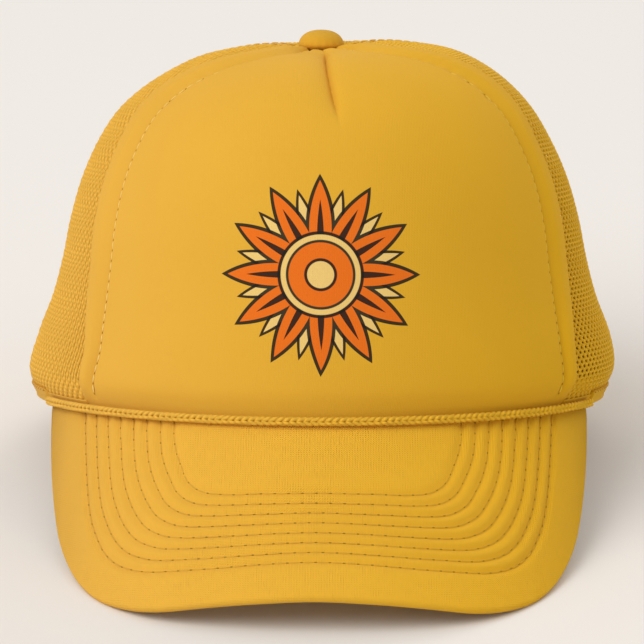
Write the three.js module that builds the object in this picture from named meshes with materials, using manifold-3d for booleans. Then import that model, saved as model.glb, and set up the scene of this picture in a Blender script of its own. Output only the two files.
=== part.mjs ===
// Trucker hat with a foam front, four net panels, a stitched visor and a snap strap.
// Millimetres. The hat is drawn upright with its rim on z = 0, the front facing -y,
// and is then pitched so that it rests on the two visor corners and the back strap.
// Left and right are as seen from the front: left is -x.
import * as THREE from 'three';
import { mergeVertices } from 'three/addons/utils/BufferGeometryUtils.js';
import Module from 'manifold-3d';

const wasm = await Module();
wasm.setup();

// Crown
const CROWN_HALF_WIDTH = 93.5;
const CROWN_FRONT_REACH = 93;
const CROWN_BACK_REACH = 97;
const CROWN_HEIGHT = 113;
const CROWN_LEAN = 1.3;
const TOP_TILT = 3;
const SIDE_SEAM_ANGLE = 118;
const FRONT_DROP = 3;
const CLEARANCE = 0.3;

// Front panel: foam faced with cloth, its middle turned to the right by PANEL_TURN degrees
const PANEL_WALL = 1.2;
const PANEL_TURN = 2.4;
const FOAM_PUFF = 1.6;
const FOAM_BASE = 0.2;
const FOAM_FADE_HEIGHT = 10;
const EDGE_ROLL = 13;
const GROOVE_DEPTH = 0.4;
const GROOVE_SPREAD = 0.8;
const DART_DEPTH = 2;
const DART_LEAN = 5;
const DART_SPREAD = 3.6;
const DART_LENGTH = 20;

// Visor
const VISOR_LENGTH = 65.5;
const VISOR_HALF_WIDTH = 98.9;
const VISOR_DROOP = 46;
const VISOR_THICKNESS = 3;
const VISOR_ROOT = 2.2;
const VISOR_SET_OUT = 0.6;
const VISOR_EDGE_ROUND = 1.1;

// Braid, button and bands
const BRAID_RADIUS = 1.35;
const BRAID_SINK = 1.25;
const BRAID_END_SETBACK = 1.5;
const BUTTON_RADIUS = 7.2;
const BUTTON_HEIGHT = 6.6;
const BUTTON_SKIRT = 1.4;
const TAPE_WIDTH = 12;
const TAPE_THICKNESS = 1;
const TAPE_TOP_RISE = 0.87;
const SWEATBAND_HEIGHT = 28;
const SWEATBAND_THICKNESS = 1.2;
const HEM_HEIGHT = 3.4;
const HEM_THICKNESS = 0.7;
const HEM_BEVEL = 0.4;

// Back opening and strap
const ARCH_HALF_WIDTH = 47;
const ARCH_HEIGHT = 54;
const BINDING_WIDTH = 6;
const BINDING_THICKNESS = 0.8;
const STRAP_HEIGHT = 19;
const STRAP_LIFT = 0.6;
const STRAP_THICKNESS = 1.3;
const STRAP_TUCK = 14;
const STRAP_LAP = 62;
const STUD_COUNT = 6;
const STUD_PITCH = 9;
const STUD_RADIUS = 2.4;
const STUD_HEIGHT = 1.6;
const STUD_SINK = 0.4;

// Crown sections from the rim to the button, as shares of the crown's height, half width,
// front reach and back reach. seam is the turn in degrees from the front panel's middle to
// its seams, and roll the width of the roll along them, as a share of EDGE_ROLL.
const SECTIONS = [
  { height: 0.000, width: 0.968, front: 1.000, back: 0.990, seam: 54.0, roll: 0.48 },
  { height: 0.072, width: 1.009, front: 1.005, back: 1.012, seam: 54.4, roll: 0.51 },
  { height: 0.170, width: 0.986, front: 1.005, back: 1.010, seam: 55.4, roll: 0.61 },
  { height: 0.278, width: 0.937, front: 1.000, back: 0.990, seam: 59.3, roll: 0.82 },
  { height: 0.384, width: 0.903, front: 0.990, back: 0.960, seam: 61.5, roll: 0.93 },
  { height: 0.499, width: 0.875, front: 0.975, back: 0.915, seam: 63.0, roll: 0.99 },
  { height: 0.614, width: 0.835, front: 0.945, back: 0.850, seam: 63.6, roll: 0.97 },
  { height: 0.720, width: 0.778, front: 0.890, back: 0.765, seam: 64.0, roll: 0.98 },
  { height: 0.809, width: 0.710, front: 0.800, back: 0.660, seam: 64.8, roll: 1.07 },
  { height: 0.880, width: 0.622, front: 0.690, back: 0.545, seam: 64.2, roll: 1.20 },
  { height: 0.935, width: 0.520, front: 0.550, back: 0.430, seam: 58.6, roll: 1.22 },
  { height: 0.970, width: 0.420, front: 0.410, back: 0.320, seam: 49.4, roll: 1.10 },
  { height: 0.988, width: 0.305, front: 0.280, back: 0.230, seam: 46.0, roll: 0.90 },
  { height: 0.994, width: 0.200, front: 0.180, back: 0.150, seam: 50.0, roll: 0.60 },
  { height: 0.978, width: 0.095, front: 0.090, back: 0.080, seam: 56.0, roll: 0.30 },
  { height: 0.962, width: 0.040, front: 0.040, back: 0.040, seam: 60.0, roll: 0.10 },
];

// Visor outline laid flat, from the middle of the front edge round the corner to the crown,
// as shares of the half width across and of the length ahead of the crown.
const VISOR_OUTLINE = [
  { across: 0.000, ahead: 1.000 },
  { across: 0.185, ahead: 1.000 },
  { across: 0.365, ahead: 0.984 },
  { across: 0.497, ahead: 0.955 },
  { across: 0.610, ahead: 0.890 },
  { across: 0.716, ahead: 0.781 },
  { across: 0.798, ahead: 0.636 },
  { across: 0.859, ahead: 0.476 },
  { across: 0.905, ahead: 0.312 },
  { across: 0.937, ahead: 0.141 },
  { across: 0.963, ahead: -0.037 },
  { across: 0.982, ahead: -0.208 },
  { across: 0.995, ahead: -0.387 },
  { across: 1.000, ahead: -0.540 },
];

const FABRIC = { roughness: 0.85, metalness: 0 };
const PLASTIC = { roughness: 0.5, metalness: 0 };
const GOLD = 0xe0a838;
const DEEP_GOLD = 0xc9942c;

const { clamp, lerp, smoothstep, degToRad } = THREE.MathUtils;

// A smooth value from a table's column, share running from 0 at the first row to 1.
function fromTable(table, column, share) {
  const last = table.length - 1;
  const place = clamp(share, 0, 1) * last;
  const row = Math.min(Math.floor(place), last - 1);
  const along = place - row;
  const here = table[row][column];
  const next = table[row + 1][column];
  const before = row > 0 ? table[row - 1][column] : 2 * here - next;
  const after = row + 2 <= last ? table[row + 2][column] : 2 * next - here;
  const bend = 2 * before - 5 * here + 4 * next - after;
  const twist = 3 * here - before - 3 * next + after;
  return here + 0.5 * along * (next - before + along * (bend + along * twist));
}

function spread(count, from, to) {
  return Array.from({ length: count + 1 }, (_, i) => lerp(from, to, i / count));
}

// The rises where the crown's walls bend, the same for each layer so that they stay parallel:
// one at each section, with one more near the rim and one fewer near the button.
function crownRows(low, high) {
  const last = SECTIONS.length - 1;
  const rows = spread(last, 0, 1).filter((_, row) => row !== last - 1);
  rows.splice(1, 0, 0.5 / last);
  return [low, ...rows.filter(rise => rise > low + 0.02 && rise < high - 0.02), high];
}

// How far the crown leans to the right at a rise.
function crownLean(rise) {
  return CROWN_LEAN * smoothstep(rise, 0.02, 0.14) * (1 - smoothstep(rise, 0.85, 1));
}

// The crown's middle surface. angle is 0 at the front, rise 0 at the rim and 1 at the button.
function crownPoint(angle, rise) {
  const ahead = Math.cos(angle);
  const reach = ahead > 0
    ? fromTable(SECTIONS, 'front', rise) * CROWN_FRONT_REACH
    : fromTable(SECTIONS, 'back', rise) * CROWN_BACK_REACH;
  const top = smoothstep(rise, 0.62, 0.84) * (1 - smoothstep(rise, 0.88, 1));
  const drop = FRONT_DROP * top * Math.max(ahead, 0);
  const aside = fromTable(SECTIONS, 'width', rise) * Math.sin(angle);
  const tilt = TOP_TILT * smoothstep(rise, 0.45, 0.7) * aside;
  return new THREE.Vector3(
    CROWN_HALF_WIDTH * aside + crownLean(rise),
    -reach * ahead,
    heightAtRise(rise) - drop + tilt,
  );
}

// The outward direction, kept level near the rim so that the rim stays flat.
function crownNormal(angle, rise) {
  const step = 0.004;
  const along = crownPoint(angle + step, rise).sub(crownPoint(angle - step, rise));
  const high = crownPoint(angle, Math.min(rise + step, 1));
  const up = high.sub(crownPoint(angle, Math.max(rise - step, 0)));
  const normal = along.cross(up).normalize();
  normal.z *= smoothstep(rise, 0, 0.12);
  return normal.normalize();
}

function crownOffset(angle, rise, offset) {
  return crownPoint(angle, rise).addScaledVector(crownNormal(angle, rise), offset);
}

function heightAtRise(rise) {
  return CROWN_HEIGHT * fromTable(SECTIONS, 'height', rise);
}

function riseAtHeight(height) {
  let low = 0;
  let high = 0.8;
  for (let i = 0; i < 24; i += 1) {
    const middle = (low + high) / 2;
    if (heightAtRise(middle) < height) low = middle;
    else high = middle;
  }
  return (low + high) / 2;
}

// How far the crown has swelled out at a height above the rim.
function rimFlare(height) {
  const rise = riseAtHeight(Math.max(height, 0));
  return CROWN_HALF_WIDTH * (fromTable(SECTIONS, 'width', rise) - SECTIONS[0].width);
}

function crownRadius(angle, rise) {
  const point = crownPoint(angle, rise);
  return Math.hypot(point.x, point.y);
}

// A point on the rim curve, moved outwards by step.
function rimPoint(angle, step, z) {
  const width = CROWN_HALF_WIDTH * SECTIONS[0].width + step;
  const { front, back } = SECTIONS[0];
  const reach = (Math.cos(angle) > 0 ? CROWN_FRONT_REACH * front : CROWN_BACK_REACH * back) + step;
  return new THREE.Vector3(width * Math.sin(angle), -reach * Math.cos(angle), z);
}

// A closed geometry from points and triangles of point numbers.
function closedGeometry(points, faces) {
  const geometry = new THREE.BufferGeometry();
  const numbers = points.flatMap(point => point.toArray());
  geometry.setAttribute('position', new THREE.Float32BufferAttribute(numbers, 3));
  geometry.setIndex(faces.flat());
  return mergeVertices(geometry, 1e-4);
}

// A wall between two grids of points, skin[i][j] facing out and lining[i][j] facing in.
function wall(skin, lining) {
  const columns = skin.length;
  const rows = skin[0].length;
  const points = [...skin.flat(), ...lining.flat()];
  const out = (i, j) => i * rows + j;
  const into = (i, j) => columns * rows + i * rows + j;
  const faces = [];
  const quad = (a, b, c, d) => faces.push([a, b, c], [a, c, d]);
  for (let i = 0; i < columns - 1; i += 1) {
    for (let j = 0; j < rows - 1; j += 1) {
      quad(out(i, j), out(i + 1, j), out(i + 1, j + 1), out(i, j + 1));
      quad(into(i, j), into(i, j + 1), into(i + 1, j + 1), into(i + 1, j));
    }
    quad(out(i, 0), into(i, 0), into(i + 1, 0), out(i + 1, 0));
    quad(out(i, rows - 1), out(i + 1, rows - 1), into(i + 1, rows - 1), into(i, rows - 1));
  }
  for (let j = 0; j < rows - 1; j += 1) {
    quad(out(0, j), out(0, j + 1), into(0, j + 1), into(0, j));
    const last = columns - 1;
    quad(out(last, j), into(last, j), into(last, j + 1), out(last, j + 1));
  }
  return closedGeometry(points, faces);
}

// A bar through a row of loops that all have the profile's points, with flat ends.
function bar(profile, loops) {
  const size = profile.length;
  const faces = [];
  for (let k = 0; k < loops.length - 1; k += 1) {
    for (let i = 0; i < size; i += 1) {
      const a = k * size + i;
      const b = k * size + ((i + 1) % size);
      faces.push([a, b, b + size], [a, b + size, a + size]);
    }
  }
  const far = (loops.length - 1) * size;
  for (const [a, b, c] of THREE.ShapeUtils.triangulateShape(profile, [])) {
    faces.push([a, c, b], [far + a, far + b, far + c]);
  }
  return closedGeometry(loops.flat(), faces);
}

function toSolid(geometry) {
  const bare = geometry.clone();
  bare.deleteAttribute('normal');
  bare.deleteAttribute('uv');
  const merged = mergeVertices(bare, 1e-4);
  return new wasm.Manifold(new wasm.Mesh({
    numProp: 3,
    vertProperties: new Float32Array(merged.attributes.position.array),
    triVerts: new Uint32Array(merged.index.array),
  }));
}

function fromSolid(solid) {
  const { vertProperties, triVerts } = solid.getMesh();
  const geometry = new THREE.BufferGeometry();
  geometry.setAttribute('position', new THREE.Float32BufferAttribute(vertProperties, 3));
  geometry.setIndex(Array.from(triVerts));
  return geometry;
}

function piece(name, geometry, color, finish) {
  const mesh = new THREE.Mesh(geometry, new THREE.MeshStandardMaterial({ color, ...finish }));
  mesh.name = name;
  return mesh;
}

const backTurn = degToRad(180);
const sideTurn = degToRad(SIDE_SEAM_ANGLE);
const panelTurn = rise => degToRad(PANEL_TURN) * (1 - smoothstep(rise, 0.5, 0.85));
const halfTurn = rise => degToRad(fromTable(SECTIONS, 'seam', rise));
const leftSeam = rise => panelTurn(rise) - halfTurn(rise);
const rightSeam = rise => panelTurn(rise) + halfTurn(rise);

// A panel's cloth between two seams, each given as a turn for every rise.
function panelGrid(fromSeam, toSeam, shares, rises, offset) {
  return shares.map(share => rises.map(rise => {
    const slack = CLEARANCE / 2 / crownRadius(fromSeam(rise), rise);
    const angle = lerp(fromSeam(rise) + slack, toSeam(rise) - slack, share);
    return crownOffset(angle, rise, typeof offset === 'function' ? offset(angle, rise) : offset);
  }));
}

// How far the foam stands out: a roll along each side seam, a stitched groove, then level.
function foamPuff(angle, rise) {
  const toSeam = (halfTurn(rise) - Math.abs(angle - panelTurn(rise))) * crownRadius(angle, rise);
  const width = EDGE_ROLL * fromTable(SECTIONS, 'roll', rise);
  const share = toSeam / width;
  const beyond = toSeam - width;
  const roll = Math.sqrt(smoothstep(share, -0.02, 0.3)) * (1.15 - 0.75 * smoothstep(share, 0.3, 1));
  const level = 1.05 - 0.12 * smoothstep(beyond, 3, 18);
  const puff = (FOAM_PUFF - FOAM_BASE) * lerp(roll, level, smoothstep(beyond, -0.3, 1.7));
  const groove = GROOVE_DEPTH * Math.exp(-((beyond / GROOVE_SPREAD) ** 2));
  const foot = smoothstep(rise, riseAtHeight(1.5 * BRAID_RADIUS), riseAtHeight(FOAM_FADE_HEIGHT));
  const top = 1 - smoothstep(rise, 0.88, 1);
  return FOAM_BASE + foot * top * (puff - groove);
}

// The crease that runs down from the button and leans to the right as it fades.
function dartDepth(angle, rise) {
  const point = crownPoint(angle, rise);
  const below = (CROWN_HEIGHT - FRONT_DROP - point.z) / DART_LENGTH;
  const fade = (1 - smoothstep(below, 0.3, 1.08)) * (1 - smoothstep(rise, 0.93, 1));
  const aside = point.x - crownLean(rise) - DART_LEAN * clamp(below, 0, 1.2);
  const flank = aside < 0 ? DART_SPREAD : DART_SPREAD * 0.42;
  return DART_DEPTH * fade * Math.exp(-Math.sqrt((aside / flank) ** 2 + 0.01));
}

function frontPanel() {
  const half = [0.05, 0.1, 0.17, 0.26, 0.37, 0.49, 0.61, 0.72, 0.81, 0.87, 0.91, 0.94, 0.97, 0.99, 1];
  const shares = [...half.map(share => -share).reverse(), 0, ...half].map(share => (share + 1) / 2);
  const rises = crownRows(0, 1);
  const outer = (angle, rise) => foamPuff(angle, rise) - dartDepth(angle, rise);
  const inner = (angle, rise) => -PANEL_WALL - 0.8 * dartDepth(angle, rise);
  return wall(
    panelGrid(leftSeam, rightSeam, shares, rises, outer),
    panelGrid(leftSeam, rightSeam, shares, rises, inner),
  );
}

function netPanel(fromSeam, toSeam, columns) {
  const shares = spread(columns, 0, 1);
  const rises = crownRows(0, 1);
  return wall(
    panelGrid(fromSeam, toSeam, shares, rises, 0),
    panelGrid(fromSeam, toSeam, shares, rises, -PANEL_WALL),
  );
}

// A prism of the arch over the strap, from well behind the crown to its middle.
function archCutter() {
  const shape = new THREE.Shape();
  shape.moveTo(-ARCH_HALF_WIDTH, -STRAP_HEIGHT);
  shape.lineTo(ARCH_HALF_WIDTH, -STRAP_HEIGHT);
  shape.lineTo(ARCH_HALF_WIDTH, 0);
  shape.absellipse(0, 0, ARCH_HALF_WIDTH, ARCH_HEIGHT, 0, Math.PI, false);
  shape.closePath();
  const depth = CROWN_BACK_REACH * 2;
  const settings = { depth, bevelEnabled: false, curveSegments: 20 };
  const geometry = new THREE.ExtrudeGeometry(shape, settings);
  geometry.rotateX(Math.PI / 2);
  geometry.translate(0, depth + CLEARANCE, 0);
  return toSolid(geometry);
}

function cutArch(geometry) {
  return fromSolid(toSolid(geometry).subtract(archCutter()));
}

// A tape inside the crown, centred on a seam.
function seamTape(seam, lowRise) {
  const shares = [-0.5, 0, 0.5];
  const rises = crownRows(lowRise, TAPE_TOP_RISE);
  const face = offset => shares.map(share => rises.map(rise => {
    const turn = share * TAPE_WIDTH / crownRadius(seam(rise), rise);
    return crownOffset(seam(rise) + turn, rise, offset);
  }));
  const skin = -PANEL_WALL - CLEARANCE;
  return wall(face(skin), face(skin - TAPE_THICKNESS));
}

// The sweatband swings inwards near its ends, to pass inside the strap's tabs.
const backTurnAt = across => Math.PI - Math.asin(across / (CROWN_HALF_WIDTH * SECTIONS[0].width));
const strapTurn = backTurnAt(ARCH_HALF_WIDTH);
const strapTuckTurn = strapTurn - STRAP_TUCK / CROWN_BACK_REACH;
const tapeInside = PANEL_WALL + TAPE_THICKNESS + 2 * CLEARANCE;

function sweatband() {
  const end = strapTurn - (BINDING_WIDTH * 0.5) / CROWN_BACK_REACH;
  const angles = spread(46, -end, end);
  const rises = crownRows(0, riseAtHeight(SWEATBAND_HEIGHT));
  const face = depth => angles.map(angle => rises.map(rise => {
    const swing = smoothstep(Math.abs(angle), strapTuckTurn - 0.2, strapTuckTurn - 0.03);
    const offset = -tapeInside - swing * (STRAP_THICKNESS + 2 * CLEARANCE) - depth;
    return crownOffset(angle, rise, offset);
  }));
  return wall(face(0), face(SWEATBAND_THICKNESS));
}

// Flat distance across the visor to each turn of the rim, by short steps.
function visorAcross() {
  const droop = degToRad(VISOR_DROOP);
  const steps = 400;
  const table = [{ turn: 0, across: 0 }];
  for (let i = 1; i <= steps; i += 1) {
    const turn = (i / steps) * (Math.PI / 2);
    const from = rimPoint(table[i - 1].turn, VISOR_SET_OUT, 0);
    const move = rimPoint(turn, VISOR_SET_OUT, 0).sub(from);
    const step = Math.hypot(move.x, move.y * Math.sin(droop));
    table.push({ turn, across: table[i - 1].across + step });
  }
  return table;
}

function turnAtAcross(table, across) {
  const i = Math.max(1, table.findIndex(row => row.across >= across));
  const share = (across - table[i - 1].across) / (table[i].across - table[i - 1].across);
  return lerp(table[i - 1].turn, table[i].turn, share);
}

// The visor's columns from left to right: the turn on the rim and the reach along the slope.
function visorColumns(count) {
  const droop = degToRad(VISOR_DROOP);
  const table = visorAcross();
  const half = spread(count, 0, 1).map(share => {
    const turn = turnAtAcross(table, VISOR_HALF_WIDTH * fromTable(VISOR_OUTLINE, 'across', share));
    const ahead = VISOR_LENGTH * fromTable(VISOR_OUTLINE, 'ahead', share);
    const root = CROWN_FRONT_REACH * Math.cos(droop) * (Math.cos(turn) - 1);
    return { turn, reach: Math.max(ahead - root, 2 * VISOR_EDGE_ROUND) };
  });
  const mirrored = half.slice(1).reverse().map(({ turn, reach }) => ({ turn: -turn, reach }));
  return [...mirrored, ...half];
}

function visorEndTurn() {
  return visorColumns(2).at(-1).turn;
}

// A point on the visor's top, down its slope from the rim.
function visorPoint(turn, along) {
  const droop = degToRad(VISOR_DROOP);
  const root = rimPoint(turn, VISOR_SET_OUT, -CLEARANCE);
  return root.add(new THREE.Vector3(0, -along * Math.cos(droop), -along * Math.sin(droop)));
}

function visorInward(turn) {
  const droop = degToRad(VISOR_DROOP);
  const behind = rimPoint(turn - 0.01, VISOR_SET_OUT, 0);
  const tangent = rimPoint(turn + 0.01, VISOR_SET_OUT, 0).sub(behind);
  return tangent.cross(new THREE.Vector3(0, -Math.cos(droop), -Math.sin(droop))).normalize();
}

function visor() {
  const inner = tapeInside + SWEATBAND_THICKNESS * 0.5;
  const shares = [0, 0.25, 0.5, 0.75, 0.93];
  const columns = visorColumns(26);
  const top = columns.map(({ turn, reach }) => [
    ...[1, 0.9].map(share => visorPoint(turn, reach - VISOR_EDGE_ROUND * (1 - share * share))
      .addScaledVector(visorInward(turn), VISOR_THICKNESS * (0.5 * share - 0.1))),
    ...shares.slice().reverse().map(share => visorPoint(turn, (reach - VISOR_EDGE_ROUND) * share)),
    rimPoint(turn, -inner, -CLEARANCE),
  ]);
  const bottom = columns.map(({ turn, reach }) => [
    ...[1, 0.9].map(share => visorPoint(turn, reach - VISOR_EDGE_ROUND * (1 - share * share))
      .addScaledVector(visorInward(turn), VISOR_THICKNESS * (1.1 - 0.5 * share))),
    ...shares.slice().reverse().map(share => visorPoint(turn, (reach - VISOR_EDGE_ROUND) * share)
      .addScaledVector(visorInward(turn), VISOR_THICKNESS)),
    rimPoint(turn, -inner, -CLEARANCE - VISOR_ROOT),
  ]);
  return wall(top, bottom);
}

function braidCord() {
  const end = visorEndTurn() - BRAID_END_SETBACK / CROWN_FRONT_REACH;
  const out = rimFlare(BRAID_RADIUS) + FOAM_BASE + CLEARANCE + BRAID_RADIUS;
  const path = new THREE.CatmullRomCurve3(
    spread(24, -end, end).map(turn => rimPoint(turn, out, BRAID_RADIUS - BRAID_SINK)),
  );
  const section = new THREE.Shape().absarc(0, 0, BRAID_RADIUS, 0, Math.PI * 2, false);
  return new THREE.ExtrudeGeometry(section, {
    steps: 40,
    extrudePath: path,
    curveSegments: 4,
    bevelEnabled: false,
  });
}

// A domed button on the dip where the panels meet.
function topButton() {
  const seat = crownPoint(Math.PI / 2, 0.96).z + FOAM_BASE + CLEARANCE;
  const profile = [new THREE.Vector2(0, 0), new THREE.Vector2(BUTTON_RADIUS * 0.93, 0)];
  const steps = 6;
  for (let i = 0; i <= steps; i += 1) {
    const turn = (i / steps) * (Math.PI / 2);
    const radius = i === steps ? 0 : BUTTON_RADIUS * Math.pow(Math.cos(turn), 0.8);
    const height = lerp(BUTTON_SKIRT, BUTTON_HEIGHT, Math.sin(turn));
    profile.push(new THREE.Vector2(radius, height));
  }
  const geometry = new THREE.LatheGeometry(profile, 20);
  geometry.rotateX(Math.PI / 2);
  geometry.translate(0, 0, seat);
  return geometry;
}

// The bound hem behind the visor: a leg up the outside and a web under the rim.
function hem(side) {
  const start = visorEndTurn() + (CLEARANCE + 0.5 * VISOR_THICKNESS) / CROWN_FRONT_REACH;
  const end = backTurnAt(ARCH_HALF_WIDTH + BINDING_WIDTH + 2 * CLEARANCE);
  const outside = CLEARANCE + HEM_THICKNESS;
  const inside = -tapeInside;
  const floor = -CLEARANCE - HEM_THICKNESS;
  const profile = [
    [inside, floor], [outside, floor], [outside, HEM_HEIGHT - HEM_BEVEL], [CLEARANCE, HEM_HEIGHT],
    [CLEARANCE, -CLEARANCE], [inside, -CLEARANCE],
  ].map(([step, z]) => new THREE.Vector2(step, z));
  const turns = spread(15, start, end).map(turn => side * turn);
  const loops = (side > 0 ? turns : turns.reverse())
    .map(turn => profile.map(({ x, y }) => rimPoint(turn, x + rimFlare(y), y)));
  return bar(profile, loops.reverse());
}

// A point at the back of the crown by its place across and up, on the facets between two rows.
function backFacetPoint(across, height, offset) {
  const rows = crownRows(0, 1);
  const above = Math.max(1, rows.findIndex(rise => heightAtRise(rise) >= height));
  const [low, high] = [rows[above - 1], rows[above]];
  const share = (height - heightAtRise(low)) / (heightAtRise(high) - heightAtRise(low));
  const mixed = value => lerp(value(low), value(high), share);
  const width = CROWN_HALF_WIDTH * mixed(rise => fromTable(SECTIONS, 'width', rise));
  const angle = Math.PI - Math.asin((across - mixed(crownLean)) / width);
  return crownOffset(angle, low, offset).lerp(crownOffset(angle, high, offset), share);
}

// The turns of the binding's loops: on each of the crown's rows by the foot, then evenly spread.
function archTurns() {
  const heights = crownRows(0, 1).map(heightAtRise).filter(height => height < ARCH_HEIGHT * 0.4);
  heights.splice(-1, 0, (heights.at(-2) + heights.at(-1)) / 2);
  const foot = heights.map(height => Math.asin(height / ARCH_HEIGHT));
  const half = [...foot, ...spread(11, foot.at(-1), Math.PI / 2).slice(1)];
  return [...half, ...half.slice(0, -1).reverse().map(turn => Math.PI - turn)];
}

// The binding round the arch, folded over the net's edge.
function openingBinding() {
  const near = -CLEARANCE - BINDING_THICKNESS;
  const deep = -PANEL_WALL - CLEARANCE;
  const profile = [
    [near, CLEARANCE + BINDING_THICKNESS], [near, deep - BINDING_THICKNESS],
    [BINDING_WIDTH, deep - BINDING_THICKNESS], [BINDING_WIDTH, deep],
    [-CLEARANCE, deep], [-CLEARANCE, CLEARANCE],
    [BINDING_WIDTH, CLEARANCE], [BINDING_WIDTH, CLEARANCE + BINDING_THICKNESS],
  ].map(([out, offset]) => new THREE.Vector2(out, offset));
  const loops = archTurns().map(turn => profile.map(({ x, y }) => {
    const across = (ARCH_HALF_WIDTH + x) * Math.cos(turn);
    const climb = x * smoothstep(Math.sin(turn), 0.36, 0.75);
    return backFacetPoint(across, (ARCH_HEIGHT + climb) * Math.sin(turn), y);
  }));
  return bar(profile, loops);
}

// Two lapped plastic ends in one piece, with a row of studs on the lap.
function snapStrap() {
  const reach = Math.PI - strapTuckTurn;
  const skin = -PANEL_WALL - BINDING_THICKNESS - 2 * CLEARANCE;
  const rises = crownRows(riseAtHeight(STRAP_LIFT), riseAtHeight(STRAP_HEIGHT + STRAP_LIFT));
  const middle = riseAtHeight(STRAP_HEIGHT / 2 + STRAP_LIFT);
  const band = (half, count, outside, thickness) => {
    const angles = spread(count, Math.PI - half, Math.PI + half);
    const face = offset => angles.map(angle => rises.map(rise => crownOffset(angle, rise, offset)));
    return toSolid(wall(face(outside), face(outside - thickness)));
  };
  const lap = STRAP_LAP / 2 / CROWN_BACK_REACH;
  const up = new THREE.Vector3(0, 1, 0);
  let strap = band(reach, 22, skin, STRAP_THICKNESS)
    .add(band(lap, 12, skin + STRAP_THICKNESS, STRAP_THICKNESS + 0.2));
  for (let i = 0; i < STUD_COUNT; i += 1) {
    const angle = Math.PI + ((i - (STUD_COUNT - 1) / 2) * STUD_PITCH) / CROWN_BACK_REACH;
    const length = STUD_HEIGHT + STUD_SINK;
    const stud = new THREE.CylinderGeometry(STUD_RADIUS * 0.8, STUD_RADIUS, length, 8);
    const normal = crownNormal(angle, middle);
    stud.applyQuaternion(new THREE.Quaternion().setFromUnitVectors(up, normal));
    const at = crownOffset(angle, middle, skin + STRAP_THICKNESS + length / 2 - STUD_SINK);
    strap = strap.add(toSolid(stud.translate(at.x, at.y, at.z)));
  }
  return fromSolid(strap);
}

function buildHat() {
  const hat = new THREE.Group();
  const leftSide = () => -sideTurn;
  const rightSide = () => sideTurn;
  const back = () => backTurn;
  const leftSideBeyond = () => 2 * backTurn - sideTurn;
  const backTapeLow = riseAtHeight(ARCH_HEIGHT + BINDING_WIDTH + CLEARANCE);
  hat.add(
    piece('front_panel', frontPanel(), GOLD, FABRIC),
    piece('net_side_left', netPanel(leftSide, leftSeam, 12), GOLD, FABRIC),
    piece('net_side_right', netPanel(rightSeam, rightSide, 12), GOLD, FABRIC),
    piece('net_back_left', cutArch(netPanel(back, leftSideBeyond, 14)), GOLD, FABRIC),
    piece('net_back_right', cutArch(netPanel(rightSide, back, 14)), GOLD, FABRIC),
    piece('seam_tape_front_left', seamTape(leftSeam, 0), DEEP_GOLD, FABRIC),
    piece('seam_tape_front_right', seamTape(rightSeam, 0), DEEP_GOLD, FABRIC),
    piece('seam_tape_side_left', seamTape(leftSide, 0), DEEP_GOLD, FABRIC),
    piece('seam_tape_side_right', seamTape(rightSide, 0), DEEP_GOLD, FABRIC),
    piece('seam_tape_back', seamTape(back, backTapeLow), DEEP_GOLD, FABRIC),
    piece('top_button', topButton(), GOLD, FABRIC),
    piece('visor', visor(), GOLD, FABRIC),
    piece('braid_cord', braidCord(), DEEP_GOLD, FABRIC),
    piece('hem_left', hem(-1), GOLD, FABRIC),
    piece('hem_right', hem(1), GOLD, FABRIC),
    piece('sweatband', sweatband(), DEEP_GOLD, FABRIC),
    piece('opening_binding', openingBinding(), GOLD, FABRIC),
    piece('snap_strap', snapStrap(), GOLD, PLASTIC),
  );
  return hat;
}

// Every corner of the hat, as a point in the plane seen from the side.
function sideCorners(hat) {
  return hat.children.flatMap(({ geometry }) => {
    const { array } = geometry.attributes.position;
    const corners = [];
    for (let i = 0; i < array.length; i += 3) corners.push({ y: array[i + 1], z: array[i + 2] });
    return corners;
  });
}

// The pitch that lays the lowest front corner and the lowest back corner on a level floor.
function restingPitch(hat) {
  const corners = sideCorners(hat);
  const lowest = pitch => {
    const height = ({ y, z }) => y * Math.sin(pitch) + z * Math.cos(pitch);
    return corners.reduce((low, corner) => (height(corner) < height(low) ? corner : low));
  };
  let down = degToRad(-60);
  let up = degToRad(60);
  for (let i = 0; i < 40; i += 1) {
    const middle = (down + up) / 2;
    if (lowest(middle).y < 0) up = middle;
    else down = middle;
  }
  return (down + up) / 2;
}

function restOnFloor(hat) {
  hat.rotation.x = restingPitch(hat);
  const rested = new THREE.Group();
  rested.add(hat);
  rested.updateMatrixWorld(true);
  const box = new THREE.Box3().setFromObject(rested, true);
  hat.position.set(-(box.min.x + box.max.x) / 2, -(box.min.y + box.max.y) / 2, -box.min.z);
  return rested;
}

const group = restOnFloor(buildHat());
export default group;
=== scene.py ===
"""Trucker hat: foam front, net sides and back, stitched visor, braided cord and snap strap.

The hat is drawn in millimetres, upright with its rim on z = 0 and its front facing -y,
and to_row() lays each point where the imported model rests. Left is -x, as seen from the front.
"""
import math

import bpy
import numpy as np
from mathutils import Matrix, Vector


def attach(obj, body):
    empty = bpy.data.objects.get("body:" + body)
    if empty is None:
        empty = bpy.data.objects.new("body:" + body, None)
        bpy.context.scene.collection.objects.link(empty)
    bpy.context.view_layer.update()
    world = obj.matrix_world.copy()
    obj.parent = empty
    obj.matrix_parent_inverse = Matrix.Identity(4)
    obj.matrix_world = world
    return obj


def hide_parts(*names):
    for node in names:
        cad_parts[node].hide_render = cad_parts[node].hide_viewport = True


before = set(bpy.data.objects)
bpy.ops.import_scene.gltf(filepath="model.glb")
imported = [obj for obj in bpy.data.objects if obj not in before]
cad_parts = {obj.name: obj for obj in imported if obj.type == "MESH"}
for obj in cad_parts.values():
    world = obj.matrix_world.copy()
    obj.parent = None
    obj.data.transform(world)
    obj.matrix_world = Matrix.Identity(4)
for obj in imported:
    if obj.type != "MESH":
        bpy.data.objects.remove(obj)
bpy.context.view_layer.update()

# How the upright hat is laid on the floor
PITCH = math.radians(-14.382169)
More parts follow.
